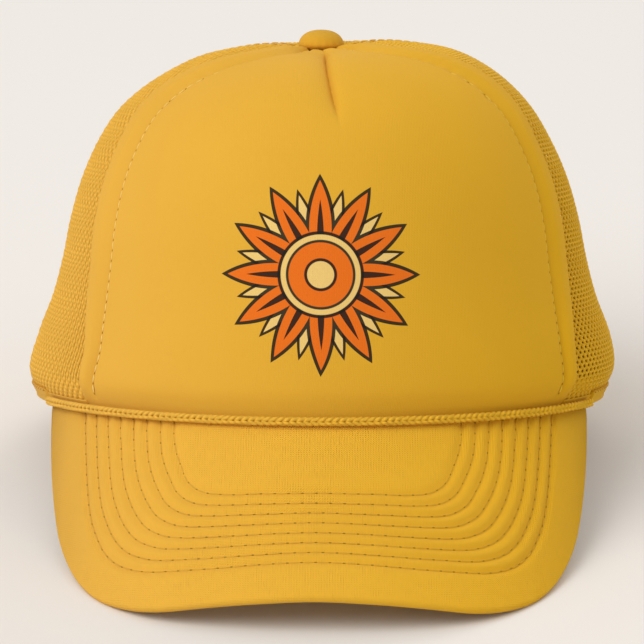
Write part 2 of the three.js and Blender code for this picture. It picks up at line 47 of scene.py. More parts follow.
REST_SHIFT = (-0.394238, 22.280180, 22.987900)

# Crown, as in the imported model
HALF_WIDTH = 93.5
FRONT_REACH = 93.0
BACK_REACH = 97.0
CROWN_HEIGHT = 113.0
SIDE_SEAM = math.radians(118)
FRONT_DROP = 3.0
CROWN_LEAN = 1.3
TOP_TILT = 3.0
PANEL_TURN = 2.4
SLACK = 0.3
WALL = 1.2
FOAM_PUFF = 1.6
EDGE_ROLL = 13.0
DART_DEPTH = 2.9
DART_LEAN = 5.0
DART_SPREAD = 3.6
DART_LENGTH = 20.0

# Visor
VISOR_LENGTH = 65.5
VISOR_HALF_WIDTH = 98.9
VISOR_DROOP = math.radians(46)
VISOR_THICK = 3.0
VISOR_ROOT = 2.2
VISOR_STEP = 0.6
VISOR_RUNS = 8

# Trims
BRAID_RADIUS = 1.35
BRAID_RISE = 0.1
BRAID_SETBACK = 1.5
BUTTON_RADIUS = 7.2
BUTTON_HEIGHT = 7.0
BUTTON_SKIRT = 2.3
BUTTON_TUCK = 62
TAPE_WIDTH = 12.0
TAPE_THICK = 1.0
TAPE_TOP_RISE = 0.87
BAND_HEIGHT = 28.0
BAND_THICK = 1.2
HEM_HEIGHT = 3.4
HEM_THICK = 0.7
HEM_ROW = 2.9
ARCH_HALF = 47.0
ARCH_HEIGHT = 54.0
BINDING_WIDTH = 6.0
BINDING_THICK = 0.8
BINDING_ROWS = (1.3, 4.7)
STRAP_HEIGHT = 19.0
STRAP_LIFT = 0.6
STRAP_THICK = 1.3
STRAP_TUCK = 14.0
STRAP_LAP = 62.0
STUDS = 6
STUD_PITCH = 9.0
STUD_SIZE = (4.6, 4.6, 3.0)
INSIDE = WALL + TAPE_THICK + 2 * SLACK

# Net and thread
NET_COLUMN = 1.6
NET_ROW = 3.0
NET_YARN = 0.60
NET_RELIEF = 0.22
NET_FOLD = 8.0
STITCH_PITCH = 3.2
VISOR_PITCH = 4.2
SEAM_PITCH = 3.0
TOPSTITCH_LIFT = 0.42
TOPSTITCH_TOP_RISE = 0.895
SEAM_TOP_RISE = 0.93
# Size of the small dark pieces that paint the shadow inside each needle hole
NEEDLE_HOLE_SHADOW_SIZE = (0.62, 0.42, 0.3)
BRAID_YARN = 0.60
BRAID_PERIOD = 8.5

CROWN = {
    "height": (0, .072, .170, .278, .384, .499, .614, .720, .809, .880, .935, .970, .988, .994, .978,
               .962),
    "width": (.968, 1.009, .986, .937, .903, .875, .835, .778, .710, .622, .520, .420, .305, .200, .095,
              .040),
    "front": (1, 1.005, 1.005, 1, .990, .975, .945, .890, .800, .690, .550, .410, .280, .180, .090, .040),
    "back": (.990, 1.012, 1.010, .990, .960, .915, .850, .765, .660, .545, .430, .320, .230, .150, .080,
             .040),
    "seam": (54, 54.4, 55.4, 59.3, 61.5, 63, 63.6, 64, 64.8, 64.2, 58.6, 49.4, 46, 50, 56, 60),
    "roll": (.48, .51, .61, .82, .93, .99, .97, .98, 1.07, 1.20, 1.22, 1.10, .90, .60, .30, .10),
}
VISOR_EDGE = {
    "across": (0, .185, .365, .497, .610, .716, .798, .859, .905, .937, .963, .982, .995, 1),
    "ahead": (1, 1, .984, .955, .890, .781, .636, .476, .312, .141, -.037, -.208, -.387, -.540),
}
# The outermost and the innermost run of visor stitching, laid flat: across and ahead, in mm
OUTER_RUN = {
    "across": (0, 17.6, 33, 47.2, 55.1, 63.1, 68.8, 72.6, 75.4, 77.4, 79, 80.4),
    "ahead": (51.9, 52, 51.3, 49, 46.5, 41.5, 34.6, 26.6, 18.1, 6.9, -8, -26),
}
INNER_RUN = {
    "across": (0, 9.2, 17.2, 26.4, 35, 40, 42.3, 44.2, 45.1, 45.3, 45.3, 45.3),
    "ahead": (26.3, 26.2, 25.7, 24.9, 22.4, 17.4, 11.3, 5.2, 0, -4, -9, -14),
}


# Shape helpers

def smooth(x, low, high):
    t = np.clip((np.asarray(x, float) - low) / (high - low), 0, 1)
    return t * t * (3 - 2 * t)


def to_row(points):
    """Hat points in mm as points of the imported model, in metres."""
    p = np.asarray(points, float)
    c, s = math.cos(PITCH), math.sin(PITCH)
    x = p[..., 0] + REST_SHIFT[0]
    y = p[..., 1] * c - p[..., 2] * s + REST_SHIFT[1]
    z = p[..., 1] * s + p[..., 2] * c + REST_SHIFT[2]
    return np.stack([x, y, z], -1) * 0.001


def turn_to_row(vectors):
    v = np.asarray(vectors, float)
    c, s = math.cos(PITCH), math.sin(PITCH)
    return np.stack([v[..., 0], v[..., 1] * c - v[..., 2] * s, v[..., 1] * s + v[..., 2] * c], -1)


def unit(v):
    return v / np.maximum(np.linalg.norm(v, axis=-1, keepdims=True), 1e-12)


def along_table(column, share):
    """A smooth value from a column of evenly spaced rows, share running from 0 to 1."""
    values = np.array(column, float)
    last = len(values) - 1
    place = np.clip(np.asarray(share, float), 0, 1) * last
    row = np.minimum(np.floor(place).astype(int), last - 1)
    t = place - row
    padded = np.concatenate([[2 * values[0] - values[1]], values, [2 * values[-1] - values[-2]]])
    before, here, after, beyond = (padded[row + k] for k in range(4))
    bend = 2 * before - 5 * here + 4 * after - beyond
    twist = 3 * here - before - 3 * after + beyond
    return here + 0.5 * t * (after - before + t * (bend + t * twist))


def crown_point(angle, rise):
    angle, rise = np.broadcast_arrays(np.asarray(angle, float), np.asarray(rise, float))
    ahead = np.cos(angle)
    reach = np.where(ahead > 0, along_table(CROWN["front"], rise) * FRONT_REACH,
                     along_table(CROWN["back"], rise) * BACK_REACH)
    top = smooth(rise, 0.62, 0.84) * (1 - smooth(rise, 0.88, 0.95))
    drop = FRONT_DROP * top * np.maximum(ahead, 0)
    aside = along_table(CROWN["width"], rise) * np.sin(angle)
    tilt = TOP_TILT * smooth(rise, 0.45, 0.7) * aside
    return np.stack([HALF_WIDTH * aside + crown_lean(rise), -reach * ahead,
                     CROWN_HEIGHT * along_table(CROWN["height"], rise) - drop + tilt], -1)


def crown_lean(rise):
    """How far the crown leans to the right at a rise."""
    return CROWN_LEAN * smooth(rise, 0.02, 0.14) * (1 - smooth(rise, 0.85, 1))


def crown_normal(angle, rise):
    step = 0.004
    angle, rise = np.broadcast_arrays(np.asarray(angle, float), np.asarray(rise, float))
    along = crown_point(angle + step, rise) - crown_point(angle - step, rise)
    up = crown_point(angle, np.minimum(rise + step, 1)) - crown_point(angle, np.maximum(rise - step, 0))
    normal = unit(np.cross(along, up))
    normal[..., 2] *= smooth(rise, 0, 0.12)
    return unit(normal)


def crown_offset(angle, rise, offset):
    return crown_point(angle, rise) + crown_normal(angle, rise) * np.asarray(offset, float)[..., None]


def rise_at_height(height):
    height = np.asarray(height, float)
    low, high = np.zeros_like(height), np.full_like(height, 0.8)
    for _ in range(26):
        middle = (low + high) / 2
        under = CROWN_HEIGHT * along_table(CROWN["height"], middle) < height
        low, high = np.where(under, middle, low), np.where(under, high, middle)
    return (low + high) / 2


def rim_flare(height):
    """How far the net stands out from the rim at a height."""
    rise = rise_at_height(np.maximum(height, 0))
    return HALF_WIDTH * (along_table(CROWN["width"], rise) - CROWN["width"][0])


def crown_radius(angle, rise):
    p = crown_point(angle, rise)
    return np.hypot(p[..., 0], p[..., 1])


def panel_turn(rise):
    """The front panel's middle, which is sewn a little to the right of the crown's."""
    return math.radians(PANEL_TURN) * (1 - smooth(rise, 0.5, 0.85))


def seam_turn(rise):
    return panel_turn(rise) + np.radians(along_table(CROWN["seam"], rise))


def left_seam_turn(rise):
    return panel_turn(rise) - np.radians(along_table(CROWN["seam"], rise))


def rim_point(angle, step, z):
    """A point step mm outside the rim, at a height."""
    angle, step, z = np.broadcast_arrays(*(np.asarray(a, float) for a in (angle, step, z)))
    front, back = FRONT_REACH * CROWN["front"][0], BACK_REACH * CROWN["back"][0]
    reach = np.where(np.cos(angle) > 0, front, back) + step
    side = HALF_WIDTH * CROWN["width"][0] + step
    return np.stack([side * np.sin(angle), -reach * np.cos(angle), z], -1)


def front_seam_turn(side):
    """How far round the rim the front seam stands on one side."""
    return float(seam_turn(0.0)) if side > 0 else -float(left_seam_turn(0.0))


def handed(name, side):
    return name + ("_left" if side < 0 else "_right")


def run_length(points):
    steps = np.linalg.norm(np.diff(points, axis=0), axis=-1)
    return np.concatenate([[0], np.cumsum(steps)])


def resample(points, pitch):
    """Points at even steps along a line, both ends kept."""
    length = run_length(points)
    count = max(2, int(round(length[-1] / pitch)) + 1)
    want = np.linspace(0, length[-1], count)
    return np.stack([np.interp(want, length, points[:, k]) for k in range(points.shape[1])], -1)


# Mesh helpers

def placed(name, data):
    """A new object in the scene, at the origin."""
    made = bpy.data.objects.new(name, data)
    bpy.context.scene.collection.objects.link(made)
    return made


def point_mesh(name, points):
    """Bare points in the row frame, from hat points in mm."""
    mesh = bpy.data.meshes.new(name)
    mesh.vertices.add(len(points))
    mesh.vertices.foreach_set("co", to_row(points).astype(np.float32).ravel())
    return mesh


def new_mesh(name, points, faces, uv=None, corner_uv=None):
    """A mesh from hat points in mm and a list of face arrays, with UVs in mm for points or corners."""
    points = np.asarray(points, float)
    triangles = np.concatenate([part for f in faces for part in
                                ((f[:, [0, 1, 2]], f[:, [0, 2, 3]]) if f.shape[1] == 4 else (f,))])
    a, b, c = (points[triangles[:, k]] for k in range(3))
    if np.einsum("ij,ij->i", a, np.cross(b, c)).sum() < 0:
        faces = [f[:, ::-1] for f in faces]
        corner_uv = None if corner_uv is None else [u[:, ::-1] for u in corner_uv]
    mesh = point_mesh(name, points)
    loops = np.concatenate([f.ravel() for f in faces]).astype(np.int32)
    sizes = np.concatenate([np.full(len(f), f.shape[1]) for f in faces])
    mesh.loops.add(len(loops))
    mesh.loops.foreach_set("vertex_index", loops)
    mesh.polygons.add(len(sizes))
    mesh.polygons.foreach_set("loop_start", (np.cumsum(sizes) - sizes).astype(np.int32))
    mesh.update(calc_edges=True)
    mesh.validate()
    layer = mesh.uv_layers.new(name="UVMap")
    if uv is None:
        uv = np.concatenate([u.reshape(-1, 2) for u in corner_uv])
    else:
        uv = np.asarray(uv)[loops]
    layer.data.foreach_set("uv", (uv * 0.001).astype(np.float32).ravel())
    mesh.polygons.foreach_set("use_smooth", np.ones(len(sizes), bool))
    return placed(name, mesh)


def ring_quads(count, around):
    """Faces between each two of count closed rings of around points."""
    i, j = np.divmod(np.arange((count - 1) * around), around)
    k = (j + 1) % around
    return np.stack([i * around + j, (i + 1) * around + j, (i + 1) * around + k, i * around + k], -1)


def grid_uv(skin):
    """Distances across and up a grid of points, so that a weave keeps its real size."""
    across = np.linalg.norm(np.diff(skin, axis=0), axis=-1)
    up = np.linalg.norm(np.diff(skin, axis=1), axis=-1)
    u = np.concatenate([np.zeros((1, skin.shape[1])), np.cumsum(across, axis=0)])
    v = np.concatenate([np.zeros((skin.shape[0], 1)), np.cumsum(up, axis=1)], axis=1)
    return np.stack([u - u[len(u) // 2], v], -1)


def shell(name, skin, lining, bulge):
    """A closed cloth wall between two grids of points, with rounded edges."""
    columns, rows = skin.shape[:2]
    uv = grid_uv(skin)

    def edge(a, b, inner_a, inner_b):
        out = unit((a + b) / 2 - (inner_a + inner_b) / 2)
        return (a + b) / 2 + out * bulge

    top = edge(skin[:, -1], lining[:, -1], skin[:, -2], lining[:, -2])
    bottom = edge(skin[:, 0], lining[:, 0], skin[:, 1], lining[:, 1])
    ring = np.concatenate([skin, top[:, None], lining[:, ::-1], bottom[:, None]], axis=1)
    ring_uv = np.concatenate([uv, uv[:, -1:], uv[:, ::-1], uv[:, :1]], axis=1)
    around = ring.shape[1]
    first = edge(skin[0], lining[0], skin[1], lining[1])
    last = edge(skin[-1], lining[-1], skin[-2], lining[-2])
    points = np.concatenate([ring.reshape(-1, 3), first, last])
    all_uv = np.concatenate([ring_uv.reshape(-1, 2), uv[0], uv[-1]])
    quads, corners = [ring_quads(columns, around)], []
    after = columns * around
    for column, start, turned in ((0, after, True), (columns - 1, after + rows, False)):
        base = column * around
        j = np.arange(rows - 1)
        outer, inner, cap = base + j, base + 2 * rows - j, start + j
        near = np.stack([outer, outer + 1, cap + 1, cap], -1)
        far = np.stack([cap, cap + 1, inner - 1, inner], -1)
        ends = np.array([[base, start, base + around - 1], [start, base + 2 * rows, base + around - 1],
                         [base + rows - 1, base + rows, start + rows - 1],
                         [base + rows, base + rows + 1, start + rows - 1]])
        if turned:
            near, far, ends = near[:, ::-1], far[:, ::-1], ends[:, ::-1]
        quads += [near, far]
        corners.append(ends)
    return new_mesh(name, points, quads + corners, uv=all_uv)


def loft(name, loops):
    """A closed bar through loops of points, with its ends closed round a middle point."""
    count, around = loops.shape[:2]
    middle = loops.mean(axis=1)
    u = run_length(middle)
    closed = np.concatenate([loops, loops[:, :1]], axis=1)
    girth = np.cumsum(np.linalg.norm(np.diff(closed, axis=1), axis=-1), axis=1)
    v = np.concatenate([np.zeros((count, 1)), girth], 1)

    def at(ring, place):
        return np.stack([u[ring], v[ring, place]], -1)

    i, j = np.divmod(np.arange((count - 1) * around), around)
    quad_uv = np.stack([at(i, j), at(i + 1, j), at(i + 1, j + 1), at(i, j + 1)], 1)
    j, first = np.arange(around), np.zeros(around, int)
    k = (j + 1) % around
    start = np.stack([first + count * around, j, k], -1)
    end = np.stack([first + count * around + 1, (count - 1) * around + k, (count - 1) * around + j], -1)
    cap_uv = np.stack([np.zeros((around, 2)), at(first, j), at(first, j + 1)], 1)
    points = np.concatenate([loops.reshape(-1, 3), middle[:1], middle[-1:]])
    return new_mesh(name, points, [ring_quads(count, around), start, end],
                    corner_uv=[quad_uv, cap_uv, cap_uv[:, [0, 2, 1]]])


def carried(name, profile, turns, place):
    """A closed bar whose section, pairs of (a, b), is carried along the turns by place(turn, a, b)."""
    turn, a = np.meshgrid(turns, profile[:, 0], indexing="ij")
    return loft(name, place(turn, a, np.broadcast_to(profile[:, 1], turn.shape)))


def rounded(corners, radius, steps=3):
    """A closed profile with its corners rounded, from (a, b) pairs."""
    corners = np.asarray(corners, float)
    out = []
    for k in range(len(corners)):
        here, before, after = corners[k], corners[k - 1], corners[(k + 1) % len(corners)]
        r = min(radius, 0.49 * np.linalg.norm(before - here), 0.49 * np.linalg.norm(after - here))
        a, b = here + unit(before - here) * r, here + unit(after - here) * r
        for t in np.linspace(0, 1, steps + 1):
            out.append((1 - t) ** 2 * a + 2 * t * (1 - t) * here + t * t * b)
    return np.array(out)


def subdivided(profile, longest):
    """A closed profile with extra points on its long sides."""
    out = []
    for k in range(len(profile)):
        a, b = profile[k], profile[(k + 1) % len(profile)]
        pieces = max(1, int(math.ceil(np.linalg.norm(b - a) / longest)))
        out += [a + (b - a) * t / pieces for t in range(pieces)]
    return np.array(out)


# Geometry node trees

def fill(node, values):
    for label, value in values.items():
        node.inputs[label].default_value = value


def chained(tree, *nodes):
    """Links each node's first output to the next one's first input."""
    for before, after in zip(nodes, nodes[1:]):
        tree.links.new(before.outputs[0], after.inputs[0])


def closed_tree(tree, last, material, out):
    """Ends a tree: real meshes, shaded smooth, with their material."""
    real, shade, paint = (tree.nodes.new("GeometryNode" + kind)
                          for kind in ("RealizeInstances", "SetShadeSmooth", "SetMaterial"))
    chained(tree, last, real, shade, paint, out)
    tree.links.new(material, paint.inputs["Material"])
    return tree


def new_tree(name, inputs):
    tree = bpy.data.node_groups.new(name, "GeometryNodeTree")
    tree.interface.new_socket("Geometry", in_out="INPUT", socket_type="NodeSocketGeometry")
    for label, kind in inputs:
        tree.interface.new_socket(label, in_out="INPUT", socket_type=kind)
    tree.interface.new_socket("Geometry", in_out="OUTPUT", socket_type="NodeSocketGeometry")
    return tree, tree.nodes.new("NodeGroupInput"), tree.nodes.new("NodeGroupOutput")


def yarn_tree():
    """Yarn of a round section along every line of a mesh. ply holds the section's direction for the twist."""
    tree, given, out = new_tree("Yarn along lines", [
        ("Yarn radius", "NodeSocketFloat"), ("Sides", "NodeSocketInt"), ("Yarn", "NodeSocketMaterial")])
    add, link = tree.nodes.new, tree.links.new
    lines = add("GeometryNodeMeshToCurve")
    circle = add("GeometryNodeCurvePrimitiveCircle")
    position = add("GeometryNodeInputPosition")
    length = add("ShaderNodeVectorMath")
    length.operation = "NORMALIZE"
    ply = add("GeometryNodeStoreNamedAttribute")
    ply.data_type, ply.domain = "FLOAT_VECTOR", "POINT"
    ply.inputs["Name"].default_value = "ply"
    sweep = add("GeometryNodeCurveToMesh")
    sweep.inputs["Fill Caps"].default_value = True
    link(given.outputs["Sides"], circle.inputs["Resolution"])
    link(given.outputs["Yarn radius"], circle.inputs["Radius"])
    chained(tree, circle, ply)
    chained(tree, position, length)
    link(length.outputs[0], ply.inputs["Value"])
    chained(tree, given, lines, sweep)
    link(ply.outputs[0], sweep.inputs["Profile Curve"])
    return closed_tree(tree, sweep, given.outputs["Yarn"], out)


def stitch_tree():
    """A spindle of thread on every point, lying along run and facing out."""
    tree, given, out = new_tree("Stitches on points", [
        ("Length", "NodeSocketFloat"), ("Width", "NodeSocketFloat"), ("Height", "NodeSocketFloat"),
        ("Thread", "NodeSocketMaterial")])
    add, link = tree.nodes.new, tree.links.new
    spindle = add("GeometryNodeMeshUVSphere")
    fill(spindle, {"Segments": 6, "Rings": 4, "Radius": 0.5})
    size = add("ShaderNodeCombineXYZ")
    turned, scaled_up = add("GeometryNodeTransform"), add("GeometryNodeTransform")
    turned.inputs["Rotation"].default_value = (0, math.pi / 2, 0)
    lay, stand = add("FunctionNodeAlignRotationToVector"), add("FunctionNodeAlignRotationToVector")
    lay.axis, stand.axis, stand.pivot_axis = "X", "Z", "X"
    run, facing = add("GeometryNodeInputNamedAttribute"), add("GeometryNodeInputNamedAttribute")
    for node, label in ((run, "run"), (facing, "facing")):
        node.data_type = "FLOAT_VECTOR"
        node.inputs["Name"].default_value = label
    place = add("GeometryNodeInstanceOnPoints")
    chained(tree, spindle, turned, scaled_up)
    chained(tree, given, place)
    for label, axis in (("Length", "X"), ("Width", "Y"), ("Height", "Z")):
        link(given.outputs[label], size.inputs[axis])
    wires = ((size, scaled_up, "Scale"), (scaled_up, place, "Instance"), (run, lay, "Vector"),
             (lay, stand, "Rotation"), (facing, stand, "Vector"), (stand, place, "Rotation"))
    for source, target, label in wires:
        link(source.outputs[0], target.inputs[label])
    return closed_tree(tree, place, given.outputs["Thread"], out)


YARN_TREE = yarn_tree()
STITCH_TREE = stitch_tree()


def grown(source, tree, settings):
    """The tree's result on source, as a plain mesh object of the same name."""
    modifier = source.modifiers.new("Grow", "NODES")
    modifier.node_group = tree
    for item in tree.interface.items_tree:
        if item.item_type == "SOCKET" and item.in_out == "INPUT" and item.name in settings:
            modifier[item.identifier] = settings[item.name]
    evaluated = source.evaluated_get(bpy.context.evaluated_depsgraph_get())
    mesh = bpy.data.meshes.new_from_object(evaluated)
    name, old = source.name, source.data
    bpy.data.objects.remove(source)
    bpy.data.meshes.remove(old)
    mesh.name = name
    return placed(name, mesh)


def yarn(name, lines, radius, sides, material):
    """Yarn along each line of points, in mm, as one object."""
    points = np.concatenate(lines)
    ends = np.cumsum([len(line) for line in lines]) - 1
    first = np.setdiff1d(np.arange(len(points)), ends)
    mesh = point_mesh(name, points)
    mesh.edges.add(len(first))
    mesh.edges.foreach_set("vertices", np.stack([first, first + 1], -1).astype(np.int32).ravel())
    along = mesh.attributes.new("along", "FLOAT", "POINT")
    along.data.foreach_set("value", np.concatenate([run_length(line) for line in lines]).astype(np.float32))
    mesh.update()
    settings = {"Yarn radius": radius * 0.001, "Sides": sides, "Yarn": material}
    return grown(placed(name, mesh), YARN_TREE, settings)


def stitches(name, rows, size, material):
    """Thread stitches on rows of (points, run, facing), in mm."""
    points, run, facing = (np.concatenate([row[k] for row in rows]) for k in range(3))
    mesh = point_mesh(name, points)
    for label, vectors in (("run", run), ("facing", facing)):
        attribute = mesh.attributes.new(label, "FLOAT_VECTOR", "POINT")
        attribute.data.foreach_set("vector", turn_to_row(vectors).astype(np.float32).ravel())
    length, width, height = (s * 0.001 for s in size)
    settings = {"Length": length, "Width": width, "Height": height, "Thread": material}
    return grown(placed(name, mesh), STITCH_TREE, settings)


def stitch_row(place, count):
    """Middle, direction and outward side of each stitch on a path: place(shares) gives points and normals."""
    shares = (np.arange(count) + 0.5) / count
    points, facing = place(shares)
    step = 0.2 / count
    run = unit(place(np.clip(shares + step, 0, 1))[0] - place(np.clip(shares - step, 0, 1))[0])
    return points, run, facing


# Finishes

def finish_tree(name):
    material = bpy.data.materials.new(name)
    material.use_nodes = True
    tree = material.node_tree
    tree.nodes.clear()
    out = tree.nodes.new("ShaderNodeOutputMaterial")
    shader = tree.nodes.new("ShaderNodeBsdfPrincipled")
    tree.links.new(shader.outputs[0], out.inputs["Surface"])
    return material, tree, shader


def calc(tree, operation, a, b=None, c=None):
    node = tree.nodes.new("ShaderNodeMath")
    node.operation = operation
    for socket, value in zip(node.inputs, (a, b, c)):
        if value is None:
            continue
        if isinstance(value, (int, float)):
            socket.default_value = value
        else:
            tree.links.new(value, socket)
    return node.outputs[0]


def limited(tree, value):
    return calc(tree, "MINIMUM", calc(tree, "MAXIMUM", value, 0.0), 1.0)


def toned(colour, factor):
    return tuple(min(1, c * factor) for c in colour)


def object_place(tree):
    return tree.nodes.new("ShaderNodeTexCoord").outputs["Object"]


def axes(tree, vector):
    split = tree.nodes.new("ShaderNodeSeparateXYZ")
    tree.links.new(vector, split.inputs[0])
    return split.outputs["X"], split.outputs["Y"]


def mix_colour(tree, share, a, b, kind="MIX"):
    node = tree.nodes.new("ShaderNodeMix")
    node.data_type, node.blend_type = "RGBA", kind
    for socket, value in ((node.inputs[0], share), (node.inputs[6], a), (node.inputs[7], b)):
        if isinstance(value, (int, float)):
            socket.default_value = value
        elif isinstance(value, tuple):
            socket.default_value = (*value, 1)
        else:
            tree.links.new(value, socket)
    return node.outputs[2]


def noise(tree, coordinates, scale, detail=3.0, stretch=None):
    node = tree.nodes.new("ShaderNodeTexNoise")
    fill(node, {"Scale": scale, "Detail": detail})
    if stretch is not None:
        mapping = tree.nodes.new("ShaderNodeMapping")
        mapping.inputs["Scale"].default_value = stretch
        tree.links.new(coordinates, mapping.inputs["Vector"])
        coordinates = mapping.outputs[0]
    tree.links.new(coordinates, node.inputs["Vector"])
    return node.outputs["Fac"]


def bump(tree, shader, height, distance):
    node = tree.nodes.new("ShaderNodeBump")
    fill(node, {"Strength": 1.0, "Distance": distance})
    tree.links.new(height, node.inputs["Height"])
    tree.links.new(node.outputs[0], shader.inputs["Normal"])


def weave_height(tree, uv, pitch):
    """Threads over and under each other, pitch apart, from the piece's own UV map in metres."""
    warp, weft = (calc(tree, "SINE", calc(tree, "MULTIPLY", axis, 2 * math.pi / pitch))
                  for axis in axes(tree, uv))
    return calc(tree, "MULTIPLY", warp, weft), warp


def with_right_side_shade(tree, tone):
    """Painted shade: the colour's blue drawn down towards the right half of the hat, the side away from the
    key light.
    """
    share = tree.nodes.new("ShaderNodeMapRange")
    fill(share, {"From Min": -0.08, "From Max": 0.08})
    tree.links.new(axes(tree, object_place(tree))[0], share.inputs["Value"])
    right_shade_tint = mix_colour(tree, share.outputs[0], (1, 1, 1), (1, 1, 0.19))
    return mix_colour(tree, 1.0, tone, right_shade_tint, "MULTIPLY")


def woven(name, colour, pitch, depth, ribs=0.25, shade=0.1, grain=1.2, motif=None):
    """Plain woven cloth with slubs and colour that varies a little at random, its thread tops and slubs
    painted lighter and the hollows between threads painted darker, painted shade on the right half of the
    hat, and a printed motif if one is given.
    """
    material, tree, shader = finish_tree(name)
    uv = tree.nodes.new("ShaderNodeUVMap").outputs[0]
    cross, warp = weave_height(tree, uv, pitch)
    slubs = noise(tree, uv, 900, 2.0, (3.0, 0.35, 1.0))
    cloud = noise(tree, uv, 28, 4.0)
    height = calc(tree, "MULTIPLY_ADD", warp, ribs, cross)
    height = calc(tree, "MULTIPLY_ADD", slubs, grain, height)
    # Painted shade and highlight: the colour follows the weave's height, darker in the hollows and lighter on
    # the thread tops
    share = limited(tree, calc(tree, "MULTIPLY_ADD", height, 0.22, 0.53 - 0.11 * grain))
    tone = mix_colour(tree, share, toned(colour, 1 - shade), toned(colour, 1 + shade * 0.6))
    even = calc(tree, "MULTIPLY_ADD", cloud, 0.08, 0.96)
    # Painted shade: the right half of the hat gets a deeper, less blue colour
    tone = with_right_side_shade(tree, mix_colour(tree, 1.0, tone, even, "MULTIPLY"))
    if motif is not None:
        tone = motif(tree, uv, tone)
    tree.links.new(tone, shader.inputs["Base Color"])
    fill(shader, {"Roughness": 0.9, "Sheen Weight": 0.06, "Sheen Roughness": 0.45, "Sheen Tint": SHEEN_TINT,
                  "Specular IOR Level": 0.12})
    bump(tree, shader, height, depth)
    return material


def yarn_finish(name, colour, twist, depth):
    """Plied yarn, its strands turning once in twist metres along the line, the grooves between strands
    painted darker and painted shade on the right half of the hat.
    """
    material, tree, shader = finish_tree(name)
    along, ply = tree.nodes.new("ShaderNodeAttribute"), tree.nodes.new("ShaderNodeAttribute")
    along.attribute_name, ply.attribute_name = "along", "ply"
    across, up = axes(tree, ply.outputs["Vector"])
    turn = calc(tree, "MULTIPLY", along.outputs["Fac"], 2 * math.pi / (twist * 1000))
    strands = calc(tree, "MULTIPLY", calc(tree, "SINE", turn), across)
    strands = calc(tree, "MULTIPLY_ADD", calc(tree, "COSINE", turn), up, strands)
    fuzz = noise(tree, object_place(tree), 2600, 2.0)
    height = calc(tree, "MULTIPLY_ADD", fuzz, 0.8, strands)
    share = limited(tree, calc(tree, "MULTIPLY_ADD", height, 0.3, 0.45))
    # Painted shade: the grooves between the strands are darker
    tone = mix_colour(tree, share, toned(colour, 0.74), colour)
    # Painted shade: the right half of the hat gets a deeper, less blue colour
    tree.links.new(with_right_side_shade(tree, tone), shader.inputs["Base Color"])
    fill(shader, {"Roughness": 0.75, "Sheen Weight": 0.08, "Sheen Tint": SHEEN_TINT,
                  "Specular IOR Level": 0.15})
    bump(tree, shader, height, depth)
    return material


def thread_finish(name, colour):
    """Sewing thread on short stitches, or the painted shadow of a needle hole, with painted shade on the
    right half of the hat.
    """
    material, tree, shader = finish_tree(name)
    fuzz = noise(tree, object_place(tree), 2200, 2.0)
    tone = mix_colour(tree, fuzz, toned(colour, 0.8), toned(colour, 1.1))
    # Painted shade: the right half of the hat gets a deeper, less blue colour
    tree.links.new(with_right_side_shade(tree, tone), shader.inputs["Base Color"])
    fill(shader, {"Roughness": 0.7, "Specular IOR Level": 0.3})
    bump(tree, shader, fuzz, 0.0001)
    return material


def moulded(name, colour):
    """Satin moulded plastic with a faint grain."""
    material, tree, shader = finish_tree(name)
    where = object_place(tree)
    grain, cloud = noise(tree, where, 1800, 3.0), noise(tree, where, 40, 3.0)
    tone = mix_colour(tree, cloud, toned(colour, 0.93), toned(colour, 1.04))
    tree.links.new(tone, shader.inputs["Base Color"])
    fill(shader, {"Roughness": 0.42, "Subsurface Weight": 0.06, "Subsurface Radius": (0.004, 0.002, 0.001)})
    bump(tree, shader, grain, 0.00004)
    return material


def rosette(tree, uv, ground):
    """A printed round ornament of pointed rays about a centre, from the panel's own UV map in metres."""
    across, up = (calc(tree, "MULTIPLY_ADD", axis, 1000.0, shift)
                  for axis, shift in zip(axes(tree, uv), (4.0, -45.0)))
    radius = calc(tree, "SQRT", calc(tree, "ADD", calc(tree, "MULTIPLY", across, across),
                                     calc(tree, "MULTIPLY", up, up)))
    turn = calc(tree, "ARCTAN2", up, across)

    def wave(rays, shift):
        """0 along the middle of each ray and 1 half way to the next."""
        place = calc(tree, "FRACT", calc(tree, "MULTIPLY_ADD", turn, rays / (2 * math.pi), 10 + shift))
        return calc(tree, "MULTIPLY", calc(tree, "ABSOLUTE", calc(tree, "SUBTRACT", place, 0.5)), 2.0)

    def painted(tone, reach, colour):
        """The colour out to reach, in mm from the centre, with a soft edge."""
        mask = tree.nodes.new("ShaderNodeMapRange")
        mask.interpolation_type = "SMOOTHSTEP"
        fill(mask, {"From Min": -0.12, "From Max": 0.12})
        tree.links.new(calc(tree, "SUBTRACT", reach, radius), mask.inputs["Value"])
        return mix_colour(tree, calc(tree, "MULTIPLY", mask.outputs[0], 0.96), tone, colour)

    tone = ground
    long_rays, short_rays = wave(12, 0.5), wave(12, 0.0)
    for rays, taper, reach, colour in ((short_rays, -16.0, 27.0, INK), (short_rays, -19.0, 25.0, CREAM),
                                       (long_rays, -14.0, 31.0, INK), (long_rays, -16.0, 29.0, ORANGE),
                                       (long_rays, -34.0, 23.0, INK)):
        tone = painted(tone, calc(tree, "MULTIPLY_ADD", rays, taper, reach), colour)
    for reach, colour in ((13.2, INK), (12.2, CREAM), (10.6, INK), (9.8, ORANGE), (5.0, INK), (4.1, CREAM)):
        tone = painted(tone, reach, colour)
    return tone


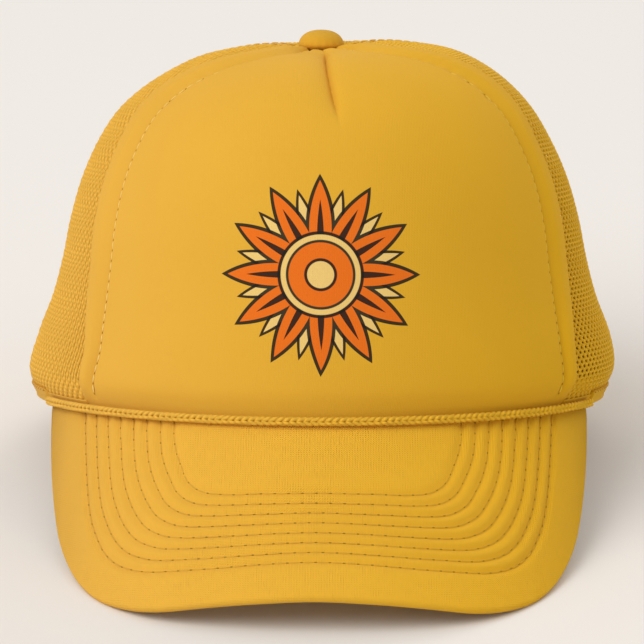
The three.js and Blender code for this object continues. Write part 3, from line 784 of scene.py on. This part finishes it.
SHEEN_TINT = (1.0, 0.86, 0.6, 1)
GOLD = (0.72, 0.396, 0.055)
INK, ORANGE, CREAM = (0.016, 0.013, 0.010), (0.80, 0.165, 0.012), (0.83, 0.58, 0.19)
FRONT_CLOTH = woven("front cloth", GOLD, 0.00052, 0.00003, ribs=0.3, shade=0.07, motif=rosette)
BUTTON_CLOTH = woven("button cloth", GOLD, 0.00052, 0.00003, ribs=0.3, shade=0.07)
VISOR_CLOTH = woven("visor cloth", toned(GOLD, 1.22), 0.0008, 0.00012, ribs=0.4, shade=0.13, grain=2.8)
HEM_CLOTH = woven("hem cloth", toned(GOLD, 0.97), 0.0006, 0.00004)
FOLD_CLOTH = woven("folded net", toned(GOLD, 1.02), 0.0016, 0.0002, ribs=0.6, shade=0.15)
TAPE_CLOTH = woven("ribbed tape", toned(GOLD, 0.9), 0.0009, 0.00012, ribs=1.2, shade=0.14)
BAND_CLOTH = woven("sweatband cloth", toned(GOLD, 0.93), 0.0007, 0.00005)
NET_YARN_FINISH = yarn_finish("net yarn", (0.82, 0.465, 0.063), 0.0016, 0.00006)
BRAID_FINISH = yarn_finish("braid yarn", (0.80, 0.46, 0.068), 0.0022, 0.00008)
THREAD = thread_finish("sewing thread", (0.72, 0.40, 0.058))
PALE_THREAD = thread_finish("pale sewing thread", (0.82, 0.58, 0.18))
# Painted shadow: dark pieces between the stitches stand for the shade inside each needle hole
NEEDLE_HOLE_SHADOW = thread_finish("needle hole shadow", (0.36, 0.185, 0.02))
STRAP_PLASTIC = moulded("strap plastic", (0.76, 0.43, 0.035))


def dress(piece, material, slot, *nodes):
    """Gives a finished piece its material, rides it and lets it stand for its nodes; slot is not used."""
    if material is not None:
        piece.data.materials.clear()
        piece.data.materials.append(material)
    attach(piece, "root")
    if nodes:
        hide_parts(*nodes)
    return piece


# Front panel

def roll_width(rise):
    """How wide the rolled edge beside the front seams is."""
    return EDGE_ROLL * along_table(CROWN["roll"], rise)


def foam_puff(angle, rise):
    """The roll along each side seam, falling to the stitched groove, then level foam."""
    half = np.radians(along_table(CROWN["seam"], rise))
    to_seam = (half - np.abs(angle - panel_turn(rise))) * crown_radius(angle, rise)
    width = roll_width(rise)
    share = to_seam / width
    roll = np.sqrt(smooth(share, -0.02, 0.30)) * (1.45 - 1.25 * smooth(share, 0.5, 1.0))
    level = 0.82 + 0.2 * smooth(to_seam - width, 3, 25)
    shape = roll + (level - roll) * smooth(to_seam - width, -0.3, 1.6)
    shape -= (0.35 + 0.25 * smooth(rise, 0.5, 0.8)) * np.exp(-((to_seam - width) / 0.8) ** 2)
    hem = smooth(rise, rise_at_height(1.5 * BRAID_RADIUS), rise_at_height(10.0))
    top = 1 - smooth(rise, 0.88, 1)
    return 0.2 + (FOAM_PUFF - 0.2) * hem * top * shape


def dart_depth(angle, rise):
    """The crease from the button, a sharp fold with a long left flank and a short right one."""
    point = crown_point(angle, rise)
    below = (CROWN_HEIGHT - FRONT_DROP - point[..., 2]) / DART_LENGTH
    fade = (1 - smooth(below, 0.55, 1.17)) * (1 - 0.75 * smooth(rise, 0.80, 0.93))
    aside = point[..., 0] - crown_lean(rise) - DART_LEAN * np.clip(below, 0, 1.2)
    spread = np.where(aside < 0, DART_SPREAD, DART_SPREAD * 0.42)
    fold = 0.8 * np.exp(-np.abs(aside) / 0.45)
    return fade * (DART_DEPTH * np.exp(-np.sqrt((aside / spread) ** 2 + 0.002)) + fold)


def front_panel():
    half = np.concatenate([np.linspace(0, 0.10, 28), np.linspace(0.10, 0.80, 24)[1:],
                           np.linspace(0.80, 1, 40)[1:]])
    shares = (np.concatenate([-half[:0:-1], half])[:, None] + 1) / 2
    rises = np.concatenate([np.linspace(0, 0.6, 60), np.linspace(0.6, 1, 166)[1:]])
    low = left_seam_turn(rises) + SLACK / 2 / crown_radius(left_seam_turn(rises), rises)
    high = seam_turn(rises) - SLACK / 2 / crown_radius(seam_turn(rises), rises)
    angles = low + (high - low) * shares
    rise = np.broadcast_to(rises, angles.shape)
    dart = dart_depth(angles, rise)
    skin = crown_offset(angles, rise, foam_puff(angles, rise) - dart)
    lining = crown_offset(angles, rise, -WALL - 0.8 * dart)
    return shell("front_foam_panel", skin, lining, bulge=0.35)


def sewn_at(angle, rise, level):
    """Points and outward sides of a line sewn on the crown, level mm above the panels."""
    return crown_offset(angle, rise, level), crown_normal(angle, rise)


def topstitch(side):
    """The line of pale stitches in the groove inside the rolled edge."""
    low, high = float(rise_at_height(5.0)), TOPSTITCH_TOP_RISE

    def place(shares):
        rise = low + (high - low) * shares
        seam = seam_turn(rise) if side > 0 else left_seam_turn(rise)
        angle = seam - side * roll_width(rise) / crown_radius(seam, rise)
        return sewn_at(angle, rise, foam_puff(angle, rise) + TOPSTITCH_LIFT)

    return place


def path_length(place, count=200):
    return run_length(place(np.linspace(0, 1, count))[0])[-1]


def even_path(place, count=400):
    """The same path with its shares spaced evenly by length."""
    shares = np.linspace(0, 1, count)
    length = run_length(place(shares)[0])
    return lambda want: place(np.interp(want, length / length[-1], shares))


def sewn(name, paths, pitch, size, slot, thread=THREAD, hole_shadow=NEEDLE_HOLE_SHADOW_SIZE):
    """Rows of stitches, with a small dark piece between each two as painted shadow of the needle hole, where
    the last argument gives its size.
    """
    thread_rows, hole_shadow_rows = [], []
    for path in paths:
        even = even_path(path)
        count = max(2, int(round(path_length(path) / pitch)))
        thread_rows.append(stitch_row(even, count))
        shares = np.arange(count + 1) / count
        points, facing = even(shares)
        hole_shadow_rows.append((points + facing * 0.02, unit(np.gradient(points, axis=0)), facing))
    dress(stitches(name, thread_rows, size, thread), None, slot)
    if hole_shadow is not None:
        dress(stitches(name + "_needle_hole_shadows", hole_shadow_rows, hole_shadow, NEEDLE_HOLE_SHADOW), None, slot)


dress(front_panel(), FRONT_CLOTH, "front_cloth", "front_panel")
sewn("front_topstitch", [topstitch(side) for side in (-1, 1)], STITCH_PITCH, (2.6, 0.7, 0.5),
     "front_cloth", PALE_THREAD)


# Net panels

def net_lines(low, high):
    """Zigzag columns of yarn over a panel between two seams, each touching its neighbours in turn."""
    fine = np.linspace(0, 0.985, 600)
    middle = (low(fine) + high(fine)) / 2
    length = run_length(crown_point(middle, fine))
    rise = np.interp(np.arange(0, length[-1], NET_ROW / 6), length, fine)
    middle = (low(rise) + high(rise)) / 2
    sway = np.tanh(1.6 * np.cos(np.arange(len(rise)) * math.pi / 3)) / math.tanh(1.6)
    reach = NET_COLUMN / 2 - 0.86 * NET_YARN
    slack = 0.5 / crown_radius(middle, rise)
    lines = []
    count = int(70 / NET_COLUMN)
    for column in range(-count, count + 1):
        across = column * NET_COLUMN + (1 if column % 2 else -1) * reach * sway
        angle = middle + across / crown_radius(middle, rise)
        angle = middle + across / crown_radius((angle + middle) / 2, rise)
        lift = NET_RELIEF * sway * (1 if column % 2 else -1)
        point = crown_offset(angle, rise, lift - WALL / 2)
        inside = (angle > low(rise) + slack) & (angle < high(rise) - slack)
        behind = np.cos(angle) < 0
        arch = (point[:, 0] / (ARCH_HALF + 1)) ** 2 + (point[:, 2] / (ARCH_HEIGHT + 1)) ** 2 < 1
        inside &= ~(behind & arch)
        starts = np.flatnonzero(inside & ~np.concatenate([[False], inside[:-1]]))
        stops = np.flatnonzero(inside & ~np.concatenate([inside[1:], [False]]))
        lines += [point[a:b + 1] for a, b in zip(starts, stops) if b - a >= 2]
    return lines


def net_edges(low, high):
    """The selvedge yarn along the panel's two seams and its rim."""
    rise = np.linspace(0, 0.985, 200)
    lines = []
    for seam, way in ((low, 1), (high, -1)):
        angle = seam(rise) + way * 0.55 / crown_radius(seam(rise), rise)
        point = crown_offset(angle, rise, -WALL / 2)
        arch = (point[:, 1] > 0) & ((point[:, 0] / ARCH_HALF) ** 2 + (point[:, 2] / ARCH_HEIGHT) ** 2 < 1)
        lines.append(point[~arch])
    return lines


def net_panel(name, low, high, node, sides):
    """A net of yarn between two seams; the back ones' yarn has fewer sides."""
    lines = net_lines(low, high) + net_edges(low, high)
    dress(yarn(name, lines, NET_YARN, sides, NET_YARN_FINISH), None, "net", node)


def fixed(angle):
    """A seam that stands at one angle all the way up."""
    return lambda rise: np.full(np.shape(rise), angle)


net_panel("side_net_left", fixed(-SIDE_SEAM), left_seam_turn, "net_side_left", 5)
net_panel("side_net_right", seam_turn, fixed(SIDE_SEAM), "net_side_right", 5)
net_panel("back_net_left", fixed(-math.pi), fixed(-SIDE_SEAM), "net_back_left", 4)
net_panel("back_net_right", fixed(SIDE_SEAM), fixed(math.pi), "net_back_right", 4)


def seam_stitching(seam, low_rise, aside):
    """A line of stitches up a net seam, aside mm from it."""
    def place(shares):
        rise = low_rise + (SEAM_TOP_RISE - low_rise) * shares
        angle = seam(rise) + aside / crown_radius(seam(rise), rise)
        return sewn_at(angle, rise, 0.25)
    return place


hem_rise = float(rise_at_height(HEM_HEIGHT + 0.6))
arch_rise = float(rise_at_height(ARCH_HEIGHT + BINDING_WIDTH + 1.0))
net_seams = [seam_stitching(fixed(s * SIDE_SEAM), hem_rise, a) for s in (-1, 1) for a in (-3.2, 3.2)]
net_seams += [seam_stitching(fixed(math.pi), arch_rise, a) for a in (-3.2, 3.2)]
sewn("net_seam_stitching", net_seams, SEAM_PITCH, (2.5, 0.5, 0.4), "net", hole_shadow=None)


# Tapes, sweatband and hems

def seam_tape(name, seam, low_rise):
    skin, half = -WALL - SLACK, TAPE_WIDTH / 2
    flat = rounded([(-half, skin), (half, skin), (half, skin - TAPE_THICK), (-half, skin - TAPE_THICK)], 0.4)

    def place(rise, aside, offset):
        return crown_offset(seam(rise) + aside / crown_radius(seam(rise), rise), rise, offset)

    return carried(name, subdivided(flat, 1.5), np.linspace(low_rise, TAPE_TOP_RISE, 90), place)


back_low = float(rise_at_height(ARCH_HEIGHT + BINDING_WIDTH + SLACK))
for name, seam, low_rise, node in (
        ("front_seam_tape_left", left_seam_turn, 0.0, "seam_tape_front_left"),
        ("front_seam_tape_right", seam_turn, 0.0, "seam_tape_front_right"),
        ("side_seam_tape_left", fixed(-SIDE_SEAM), 0.0, "seam_tape_side_left"),
        ("side_seam_tape_right", fixed(SIDE_SEAM), 0.0, "seam_tape_side_right"),
        ("back_seam_tape", fixed(math.pi), back_low, "seam_tape_back")):
    dress(seam_tape(name, seam, low_rise), TAPE_CLOTH, "tape", node)


def back_turn_at(across):
    return math.pi - math.asin(across / (HALF_WIDTH * CROWN["width"][0]))


STRAP_TURN = back_turn_at(ARCH_HALF)
STRAP_TUCK_TURN = STRAP_TURN - STRAP_TUCK / BACK_REACH
BAND_END = STRAP_TURN - BINDING_WIDTH * 0.5 / BACK_REACH


def band_swing(angle):
    """How far the sweatband bends inwards to pass the strap's ends."""
    inwards = smooth(np.abs(angle), STRAP_TUCK_TURN - 0.2, STRAP_TUCK_TURN - 0.03)
    return inwards * (STRAP_THICK + 2 * SLACK)


def sweatband():
    top = BAND_HEIGHT
    flat = rounded([(0, 0), (top, 0), (top, -BAND_THICK), (0, -BAND_THICK)], 0.5)
    height, depth = subdivided(flat, 1.2).T
    groove = 0.35 * (np.exp(-((height - top + 3) / 0.7) ** 2) + np.exp(-((height - 3.5) / 0.7) ** 2))
    depth = np.where(depth < -BAND_THICK / 2, depth + groove, depth)

    def place(turn, height, depth):
        return crown_offset(turn, rise_at_height(height), depth - INSIDE - band_swing(turn))

    turns = np.linspace(-BAND_END, BAND_END, 260)
    return carried("inner_sweatband", np.stack([height, depth], -1), turns, place)


def sweatband_row(height):
    """A line of stitches along the sweatband's inner side."""
    end = BAND_END - 0.01
    rise = float(rise_at_height(height))

    def place(shares):
        turn = -end + 2 * end * shares
        points, normal = sewn_at(turn, rise, -INSIDE - band_swing(turn) - BAND_THICK + 0.28)
        return points, -normal
    return place


dress(sweatband(), BAND_CLOTH, "sweatband", "sweatband")
sewn("sweatband_stitching", [sweatband_row(BAND_HEIGHT - 3), sweatband_row(3.5)], STITCH_PITCH,
     (2.7, 0.45, 0.36), "sweatband", hole_shadow=None)

visor_droop = (0.0, -math.cos(VISOR_DROOP), -math.sin(VISOR_DROOP))
rim_turns = np.linspace(0, math.pi / 2, 401)
rim_moves = np.diff(rim_point(rim_turns, VISOR_STEP, 0), axis=0)
rim_steps = np.hypot(rim_moves[:, 0], rim_moves[:, 1] * math.sin(VISOR_DROOP))
rim_across = np.concatenate([[0], np.cumsum(rim_steps)])


def turn_at_across(across):
    """Where on the rim the visor's cloth meets it, from how far across the laid-flat cloth it is."""
    return np.sign(across) * np.interp(np.abs(across), rim_across, rim_turns)


def visor_root(turn):
    """How far ahead the visor's seam is at a turn, laid flat."""
    return FRONT_REACH * math.cos(VISOR_DROOP) * (np.cos(turn) - 1)


VISOR_END = float(turn_at_across(VISOR_HALF_WIDTH * VISOR_EDGE["across"][-1]))


def rim_bar(name, profile, turns):
    """A bar along the rim whose section holds steps out from the net and heights."""
    return carried(name, profile, turns,
                   lambda turn, step, height: rim_point(turn, step + rim_flare(height), height))


def hem(side):
    """The bound hem behind the visor, a soft fold of cloth with a stitched line along it."""
    start = VISOR_END + (SLACK + 0.5 * VISOR_THICK) / FRONT_REACH
    end = back_turn_at(ARCH_HALF + BINDING_WIDTH + 2 * SLACK)
    outside, inside, foot = SLACK + HEM_THICK, -INSIDE, -SLACK - HEM_THICK
    flat = [(inside, foot), (outside, foot), (outside, HEM_HEIGHT), (-0.5, HEM_HEIGHT), (-0.5, -SLACK),
            (inside, -SLACK)]
    step, height = subdivided(rounded(flat, 0.45), 0.7).T
    puff = np.where(step > SLACK + 0.5, 0.3 - 0.55 * np.exp(-((height - HEM_ROW) / 0.6) ** 2), 0)
    return rim_bar(handed("rim_hem", side), np.stack([step + puff, height], -1),
                   np.linspace(start, end, 110) * side)


def hem_row(side):
    start = VISOR_END + (SLACK + 0.5 * VISOR_THICK + 1) / FRONT_REACH
    end = back_turn_at(ARCH_HALF + BINDING_WIDTH + 2 * SLACK + 1)

    def place(shares):
        turn = side * (start + (end - start) * shares)
        step = SLACK + HEM_THICK + 0.02 + float(rim_flare(HEM_ROW))
        out = rim_point(turn, 1.0, 0) - rim_point(turn, 0.0, 0)
        return rim_point(turn, step, HEM_ROW), unit(out)
    return place


def net_fold(side):
    """The net's lower edge turned up inside itself, which closes its holes near the rim."""
    turns = np.linspace(front_seam_turn(side) + 0.006, back_turn_at(ARCH_HALF + 2), 140) * side
    rises = rise_at_height(np.linspace(0.3, NET_FOLD, 12))
    turn, rise = np.meshgrid(turns, rises, indexing="ij")
    skin, lining = (crown_offset(turn, rise, depth) for depth in (-0.42, -0.82))
    return shell(handed("net_fold", side), skin, lining, bulge=0.2)


def foot_band(side):
    """The hem's cloth carried on round the net's foot, over the visor's seam, to the front seam."""
    start = front_seam_turn(side) + 0.4 / FRONT_REACH
    profile = subdivided(rounded([(-0.5, 0.1), (0.45, 0.1), (0.35, 2.4), (-0.5, 2.4)], 0.45), 0.6)
    return rim_bar(handed("foot_band", side), profile, np.linspace(start, VISOR_END + 0.03, 60) * side)


for side in (-1, 1):
    dress(net_fold(side), FOLD_CLOTH, "net")
for side in (-1, 1):
    dress(foot_band(side), HEM_CLOTH, "front_cloth")
for side in (-1, 1):
    dress(hem(side), HEM_CLOTH, "front_cloth", handed("hem", side))
sewn("hem_stitching", [hem_row(side) for side in (-1, 1)], STITCH_PITCH, (2.6, 0.45, 0.36), "front_cloth")


# Visor

def visor_place(across, ahead, depth):
    """A point on the visor from its flat place, depth below the top of the cloth."""
    across, ahead, depth = np.broadcast_arrays(*(np.asarray(a, float) for a in (across, ahead, depth)))
    turn = turn_at_across(across)
    along = ahead - visor_root(turn)
    top = rim_point(turn, VISOR_STEP, -SLACK) + along[..., None] * np.array(visor_droop)
    tangent = rim_point(turn + 0.01, VISOR_STEP, 0) - rim_point(turn - 0.01, VISOR_STEP, 0)
    inward = unit(np.cross(tangent, np.array(visor_droop)))
    return top + inward * depth[..., None], inward


def run_table():
    """Flat lines of the stitching, outermost first."""
    runs = []
    share = np.linspace(0, 1, 160)
    for k in range(VISOR_RUNS):
        t = k / (VISOR_RUNS - 1)
        across, ahead = ((1 - t) * along_table(OUTER_RUN[column], share)
                         + t * along_table(INNER_RUN[column], share) for column in ("across", "ahead"))
        keep = ahead - visor_root(turn_at_across(across)) > 1.2
        half = np.stack([across[keep], ahead[keep]], -1)
        runs.append(np.concatenate([half[:0:-1] * (-1, 1), half]))
    return runs


RUNS = run_table()


def quilting(across, ahead):
    """How far the cloth is drawn down along the stitched runs, with soft ridges between them."""
    nearest = np.full(across.shape, 1e9)
    for line in RUNS:
        for a, b in zip(line[:-1], line[1:]):
            way = b - a
            t = np.clip(((across - a[0]) * way[0] + (ahead - a[1]) * way[1]) / (way @ way), 0, 1)
            nearest = np.minimum(nearest, np.hypot(across - a[0] - t * way[0], ahead - a[1] - t * way[1]))
    return 0.95 * np.exp(-(nearest / 1.2) ** 2)


def visor():
    half = np.linspace(0, 1, 130)
    across = VISOR_HALF_WIDTH * along_table(VISOR_EDGE["across"], half)
    ahead = VISOR_LENGTH * along_table(VISOR_EDGE["ahead"], half)
    across, ahead = np.concatenate([-across[:0:-1], across]), np.concatenate([ahead[:0:-1], ahead])
    turn = turn_at_across(across)
    root = visor_root(turn)
    edge_round, half_thick = 1.3, VISOR_THICK / 2
    reach = np.maximum(ahead - root, VISOR_ROOT) - edge_round
    along = reach[:, None] * np.linspace(0, 1, 84)
    u, v = np.broadcast_to(across[:, None], along.shape), along + root[:, None]
    dip = quilting(u, v)
    top, _ = visor_place(u, v, dip + 0.25 * (1 - smooth(along, 0, 6)))
    under, _ = visor_place(u, v, VISOR_THICK - dip * 0.8)
    lip = [visor_place(across, ahead - edge_round + edge_round * math.sin(a),
                       half_thick - half_thick * math.cos(a))[0] for a in np.linspace(0, math.pi, 11)[1:-1]]
    inner = INSIDE + BAND_THICK * 0.5
    flange_top, flange_low = (rim_point(turn, -inner, -SLACK - drop)[:, None] for drop in (0, VISOR_ROOT))
    around = [flange_top, top, np.stack(lip, 1), under[:, ::-1], flange_low]
    return loft("stitched_visor", np.concatenate(around, axis=1))


def visor_row(line, under=False):
    """One run of visor stitching, on the top of the cloth or under it."""
    flat = resample(line, 0.5)
    length = run_length(flat) / run_length(flat)[-1]
    depth, facing = (VISOR_THICK - 0.3, 1) if under else (0.8, -1)

    def place(shares):
        u, v = np.interp(shares, length, flat[:, 0]), np.interp(shares, length, flat[:, 1])
        point, inward = visor_place(u, v, depth)
        return point, facing * inward
    return place


dress(visor(), VISOR_CLOTH, "visor_cloth", "visor")
# The visor's needle holes get larger dark pieces of painted shadow
sewn("visor_stitching", [visor_row(line) for line in RUNS], VISOR_PITCH, (3.2, 0.55, 0.42),
     "visor_cloth", hole_shadow=(1.0, 0.42, 0.34))
sewn("visor_under_stitching", [visor_row(line, True) for line in RUNS], VISOR_PITCH, (3.4, 0.5, 0.36),
     "visor_cloth", hole_shadow=None)


# Braided cord

def braid():
    """Four yarns plaited over and under each other along the visor's seam."""
    end = VISOR_END - BRAID_SETBACK / FRONT_REACH
    out = float(rim_flare(BRAID_RADIUS)) + 0.2 + SLACK + BRAID_RADIUS
    fine = np.linspace(-end, end, 900)
    path = rim_point(fine, out, BRAID_RISE)
    length = run_length(path)
    steps = int(length[-1] / BRAID_PERIOD * 26)
    along = np.linspace(0, length[-1], steps)
    turn = np.interp(along, length, fine)
    middle = rim_point(turn, out, BRAID_RISE)
    outward = unit(rim_point(turn, out + 1, BRAID_RISE) - middle)
    up = np.array([0, 0, 1.0])
    lines = []
    for strand in range(4):
        phase = 2 * math.pi * (along / BRAID_PERIOD + strand / 4)
        sideways = 0.82 * np.sin(phase)
        over = 0.46 * np.sin(2 * phase)
        lines.append(middle + up * sideways[:, None] + outward * over[:, None])
    return yarn("braided_cord", lines, BRAID_YARN, 8, BRAID_FINISH)


dress(braid(), None, "braid", "braid_cord")


# Button

def button():
    """A padded button, its cloth drawn under it in fine pleats."""
    seat = float(crown_point(math.pi / 2, 0.96)[2]) - 0.4
    around = np.linspace(0, 2 * math.pi, 97)[:-1]
    upper, lower = BUTTON_HEIGHT - BUTTON_SKIRT, BUTTON_SKIRT / math.sin(math.radians(BUTTON_TUCK))
    loops = []
    for turn in np.radians(np.linspace(-BUTTON_TUCK, 89, 34)):
        reach = BUTTON_RADIUS * math.cos(turn) ** 0.85
        half = upper if turn > 0 else lower
        z = BUTTON_SKIRT + half * math.sin(turn)
        ring = reach + 0.10 * np.cos(around * 18) * (1 - z / BUTTON_HEIGHT) * reach / BUTTON_RADIUS
        level = np.full(len(around), seat + z)
        loops.append(np.stack([ring * np.cos(around), ring * np.sin(around), level], -1))
    return loft("covered_button", np.array(loops))


dress(button(), BUTTON_CLOTH, "front_cloth", "top_button")


# Back opening and strap

def binding_point(out, turn):
    """Angle and rise of a point of the back arch, out from its edge."""
    across = (ARCH_HALF + out) * np.cos(turn)
    height = np.maximum((ARCH_HEIGHT + out) * np.sin(turn), 0)
    rise = rise_at_height(height)
    width = HALF_WIDTH * along_table(CROWN["width"], rise)
    angle = math.pi - np.arcsin(np.clip((across - crown_lean(rise)) / width, -1, 1))
    return angle, rise


def opening_binding():
    """Cloth folded over the arch's edge, outside and inside, with two sunk lines of stitching."""
    near, deep = -SLACK - BINDING_THICK, -WALL - SLACK
    top, low, wide = SLACK + BINDING_THICK, deep - BINDING_THICK, BINDING_WIDTH
    flat = [(near, top), (near, low), (wide, low), (wide, deep), (-SLACK, deep), (-SLACK, SLACK),
            (wide, SLACK), (wide, top)]
    out, offset = subdivided(rounded(flat, 0.38, 2), 0.8).T
    groove = 0.3 * sum(np.exp(-((out - row) / 0.6) ** 2) for row in BINDING_ROWS)
    offset = np.where(offset > SLACK + 0.4, offset - groove + 0.12, offset)
    return carried("opening_binding_cloth", np.stack([out, offset], -1), np.linspace(0, math.pi, 150),
                   lambda turn, out, offset: crown_offset(*binding_point(out, turn), offset))


def binding_row(out):
    def place(shares):
        turn = 0.03 + (math.pi - 0.06) * shares
        angle, rise = binding_point(np.full(len(turn), out), turn)
        return sewn_at(angle, rise, SLACK + BINDING_THICK)
    return place


dress(opening_binding(), HEM_CLOTH, "front_cloth", "opening_binding")
sewn("binding_stitching", [binding_row(out) for out in BINDING_ROWS], SEAM_PITCH, (2.5, 0.45, 0.34),
     "front_cloth", hole_shadow=None)


def strap_half(name, start, stop, outer):
    """One moulded strap end, its free tip rounded, from the start turn to the stop turn."""
    middle, tip_length = STRAP_LIFT + STRAP_HEIGHT / 2, STRAP_HEIGHT / 2
    length = abs(stop - start) * BACK_REACH
    straight = length - tip_length
    round_part = straight + tip_length * np.sin(np.linspace(0, 1, 18) * math.pi / 2)[1:]
    distance = np.concatenate([np.linspace(0, straight, 60), round_part])
    distance[-1] = length - 0.02
    tip = np.clip((distance - straight) / tip_length, 0, 1)
    half = STRAP_HEIGHT / 2 * np.sqrt(np.maximum(1 - tip ** 2, 0.0015))
    loops = []
    for turn, h in zip(start + (stop - start) * distance / length, half):
        inner = outer - STRAP_THICK
        flat = rounded([(-h, outer), (h, outer), (h, inner), (-h, inner)], 0.45)
        rise = rise_at_height(middle + flat[:, 0])
        loops.append(crown_offset(np.full(len(flat), turn), rise, flat[:, 1]))
    return loft(name, np.array(loops))


STRAP_SKIN = -WALL - BINDING_THICK - 2 * SLACK
LAP_TURN = STRAP_LAP / 2 / BACK_REACH
dress(strap_half("snap_strap_under", -STRAP_TUCK_TURN, -math.pi - LAP_TURN, STRAP_SKIN),
      STRAP_PLASTIC, "strap", "snap_strap")
dress(strap_half("snap_strap_over", STRAP_TUCK_TURN, math.pi + LAP_TURN, STRAP_SKIN + STRAP_THICK),
      STRAP_PLASTIC, "strap")


def strap_studs():
    """Round studs in a row along the lapped strap."""
    rise = float(rise_at_height(STRAP_LIFT + STRAP_HEIGHT / 2))
    angles = math.pi + (np.arange(STUDS) - (STUDS - 1) / 2) * STUD_PITCH / BACK_REACH
    points, normal = sewn_at(angles, rise, STRAP_SKIN + STRAP_THICK + 0.1)
    run = unit(crown_point(angles + 0.01, rise) - crown_point(angles - 0.01, rise))
    return stitches("strap_studs", [(points, run, normal)], STUD_SIZE, STRAP_PLASTIC)


dress(strap_studs(), None, "strap")


# Floor, lights and camera

FLOOR_REACH = 9


def floor_finish():
    material, tree, shader = finish_tree("pale floor")
    cloud = noise(tree, object_place(tree), 3.0, 2.0)
    tone = mix_colour(tree, cloud, (0.77, 0.753, 0.732), (0.79, 0.773, 0.752))
    tree.links.new(tone, shader.inputs["Base Color"])
    shader.inputs["Roughness"].default_value = 0.9
    return material


def stage():
    mesh = bpy.data.meshes.new("floor")
    corners = [(FLOOR_REACH * x, FLOOR_REACH * y, 0) for x, y in ((-1, -1), (1, -1), (1, 1), (-1, 1))]
    mesh.from_pydata(corners, [], [(0, 1, 2, 3)])
    floor = placed("floor", mesh)
    mesh.materials.append(floor_finish())


def soft_light(name, place, aim, size, power, colour):
    light = bpy.data.lights.new(name, "AREA")
    light.shape, light.size, light.energy, light.color = "DISK", size, power, colour
    lamp = placed(name, light)
    lamp.location = place
    lamp.rotation_euler = (Vector(aim) - Vector(place)).to_track_quat("-Z", "Y").to_euler()


def camera():
    data = bpy.data.cameras.new("camera")
    data.sensor_width, data.lens = 36.0, 252.3
    data.shift_x, data.shift_y = 0.0053, -0.0137
    eye = placed("camera", data)
    elevation, azimuth, distance = math.radians(19.30), math.radians(0.6), 1.4
    aim = Vector((-0.0004, -0.0300, 0.0676))
    ahead = Vector((-math.sin(azimuth) * math.cos(elevation), math.cos(azimuth) * math.cos(elevation),
                    -math.sin(elevation)))
    eye.location = aim - ahead * distance
    eye.rotation_euler = ahead.to_track_quat("-Z", "Y").to_euler()
    bpy.context.scene.camera = eye


def room():
    world = bpy.data.worlds.new("studio")
    world.use_nodes = True
    sky = world.node_tree.nodes["Background"]
    sky.inputs["Color"].default_value = (1.0, 0.97, 0.93, 1)
    sky.inputs["Strength"].default_value = 0.68
    bpy.context.scene.world = world
    bpy.context.scene.view_settings.view_transform = "Standard"


stage()
room()
soft_light("key", (-1.6, -1.25, 2.15), (0, 0, 0.06), 2.7, 51.5, (1.0, 0.97, 0.94))
soft_light("back_fill", (1.4, 2.2, 1.6), (0, 0, 0.06), 1.6, 18, (1.0, 0.98, 0.96))
camera()
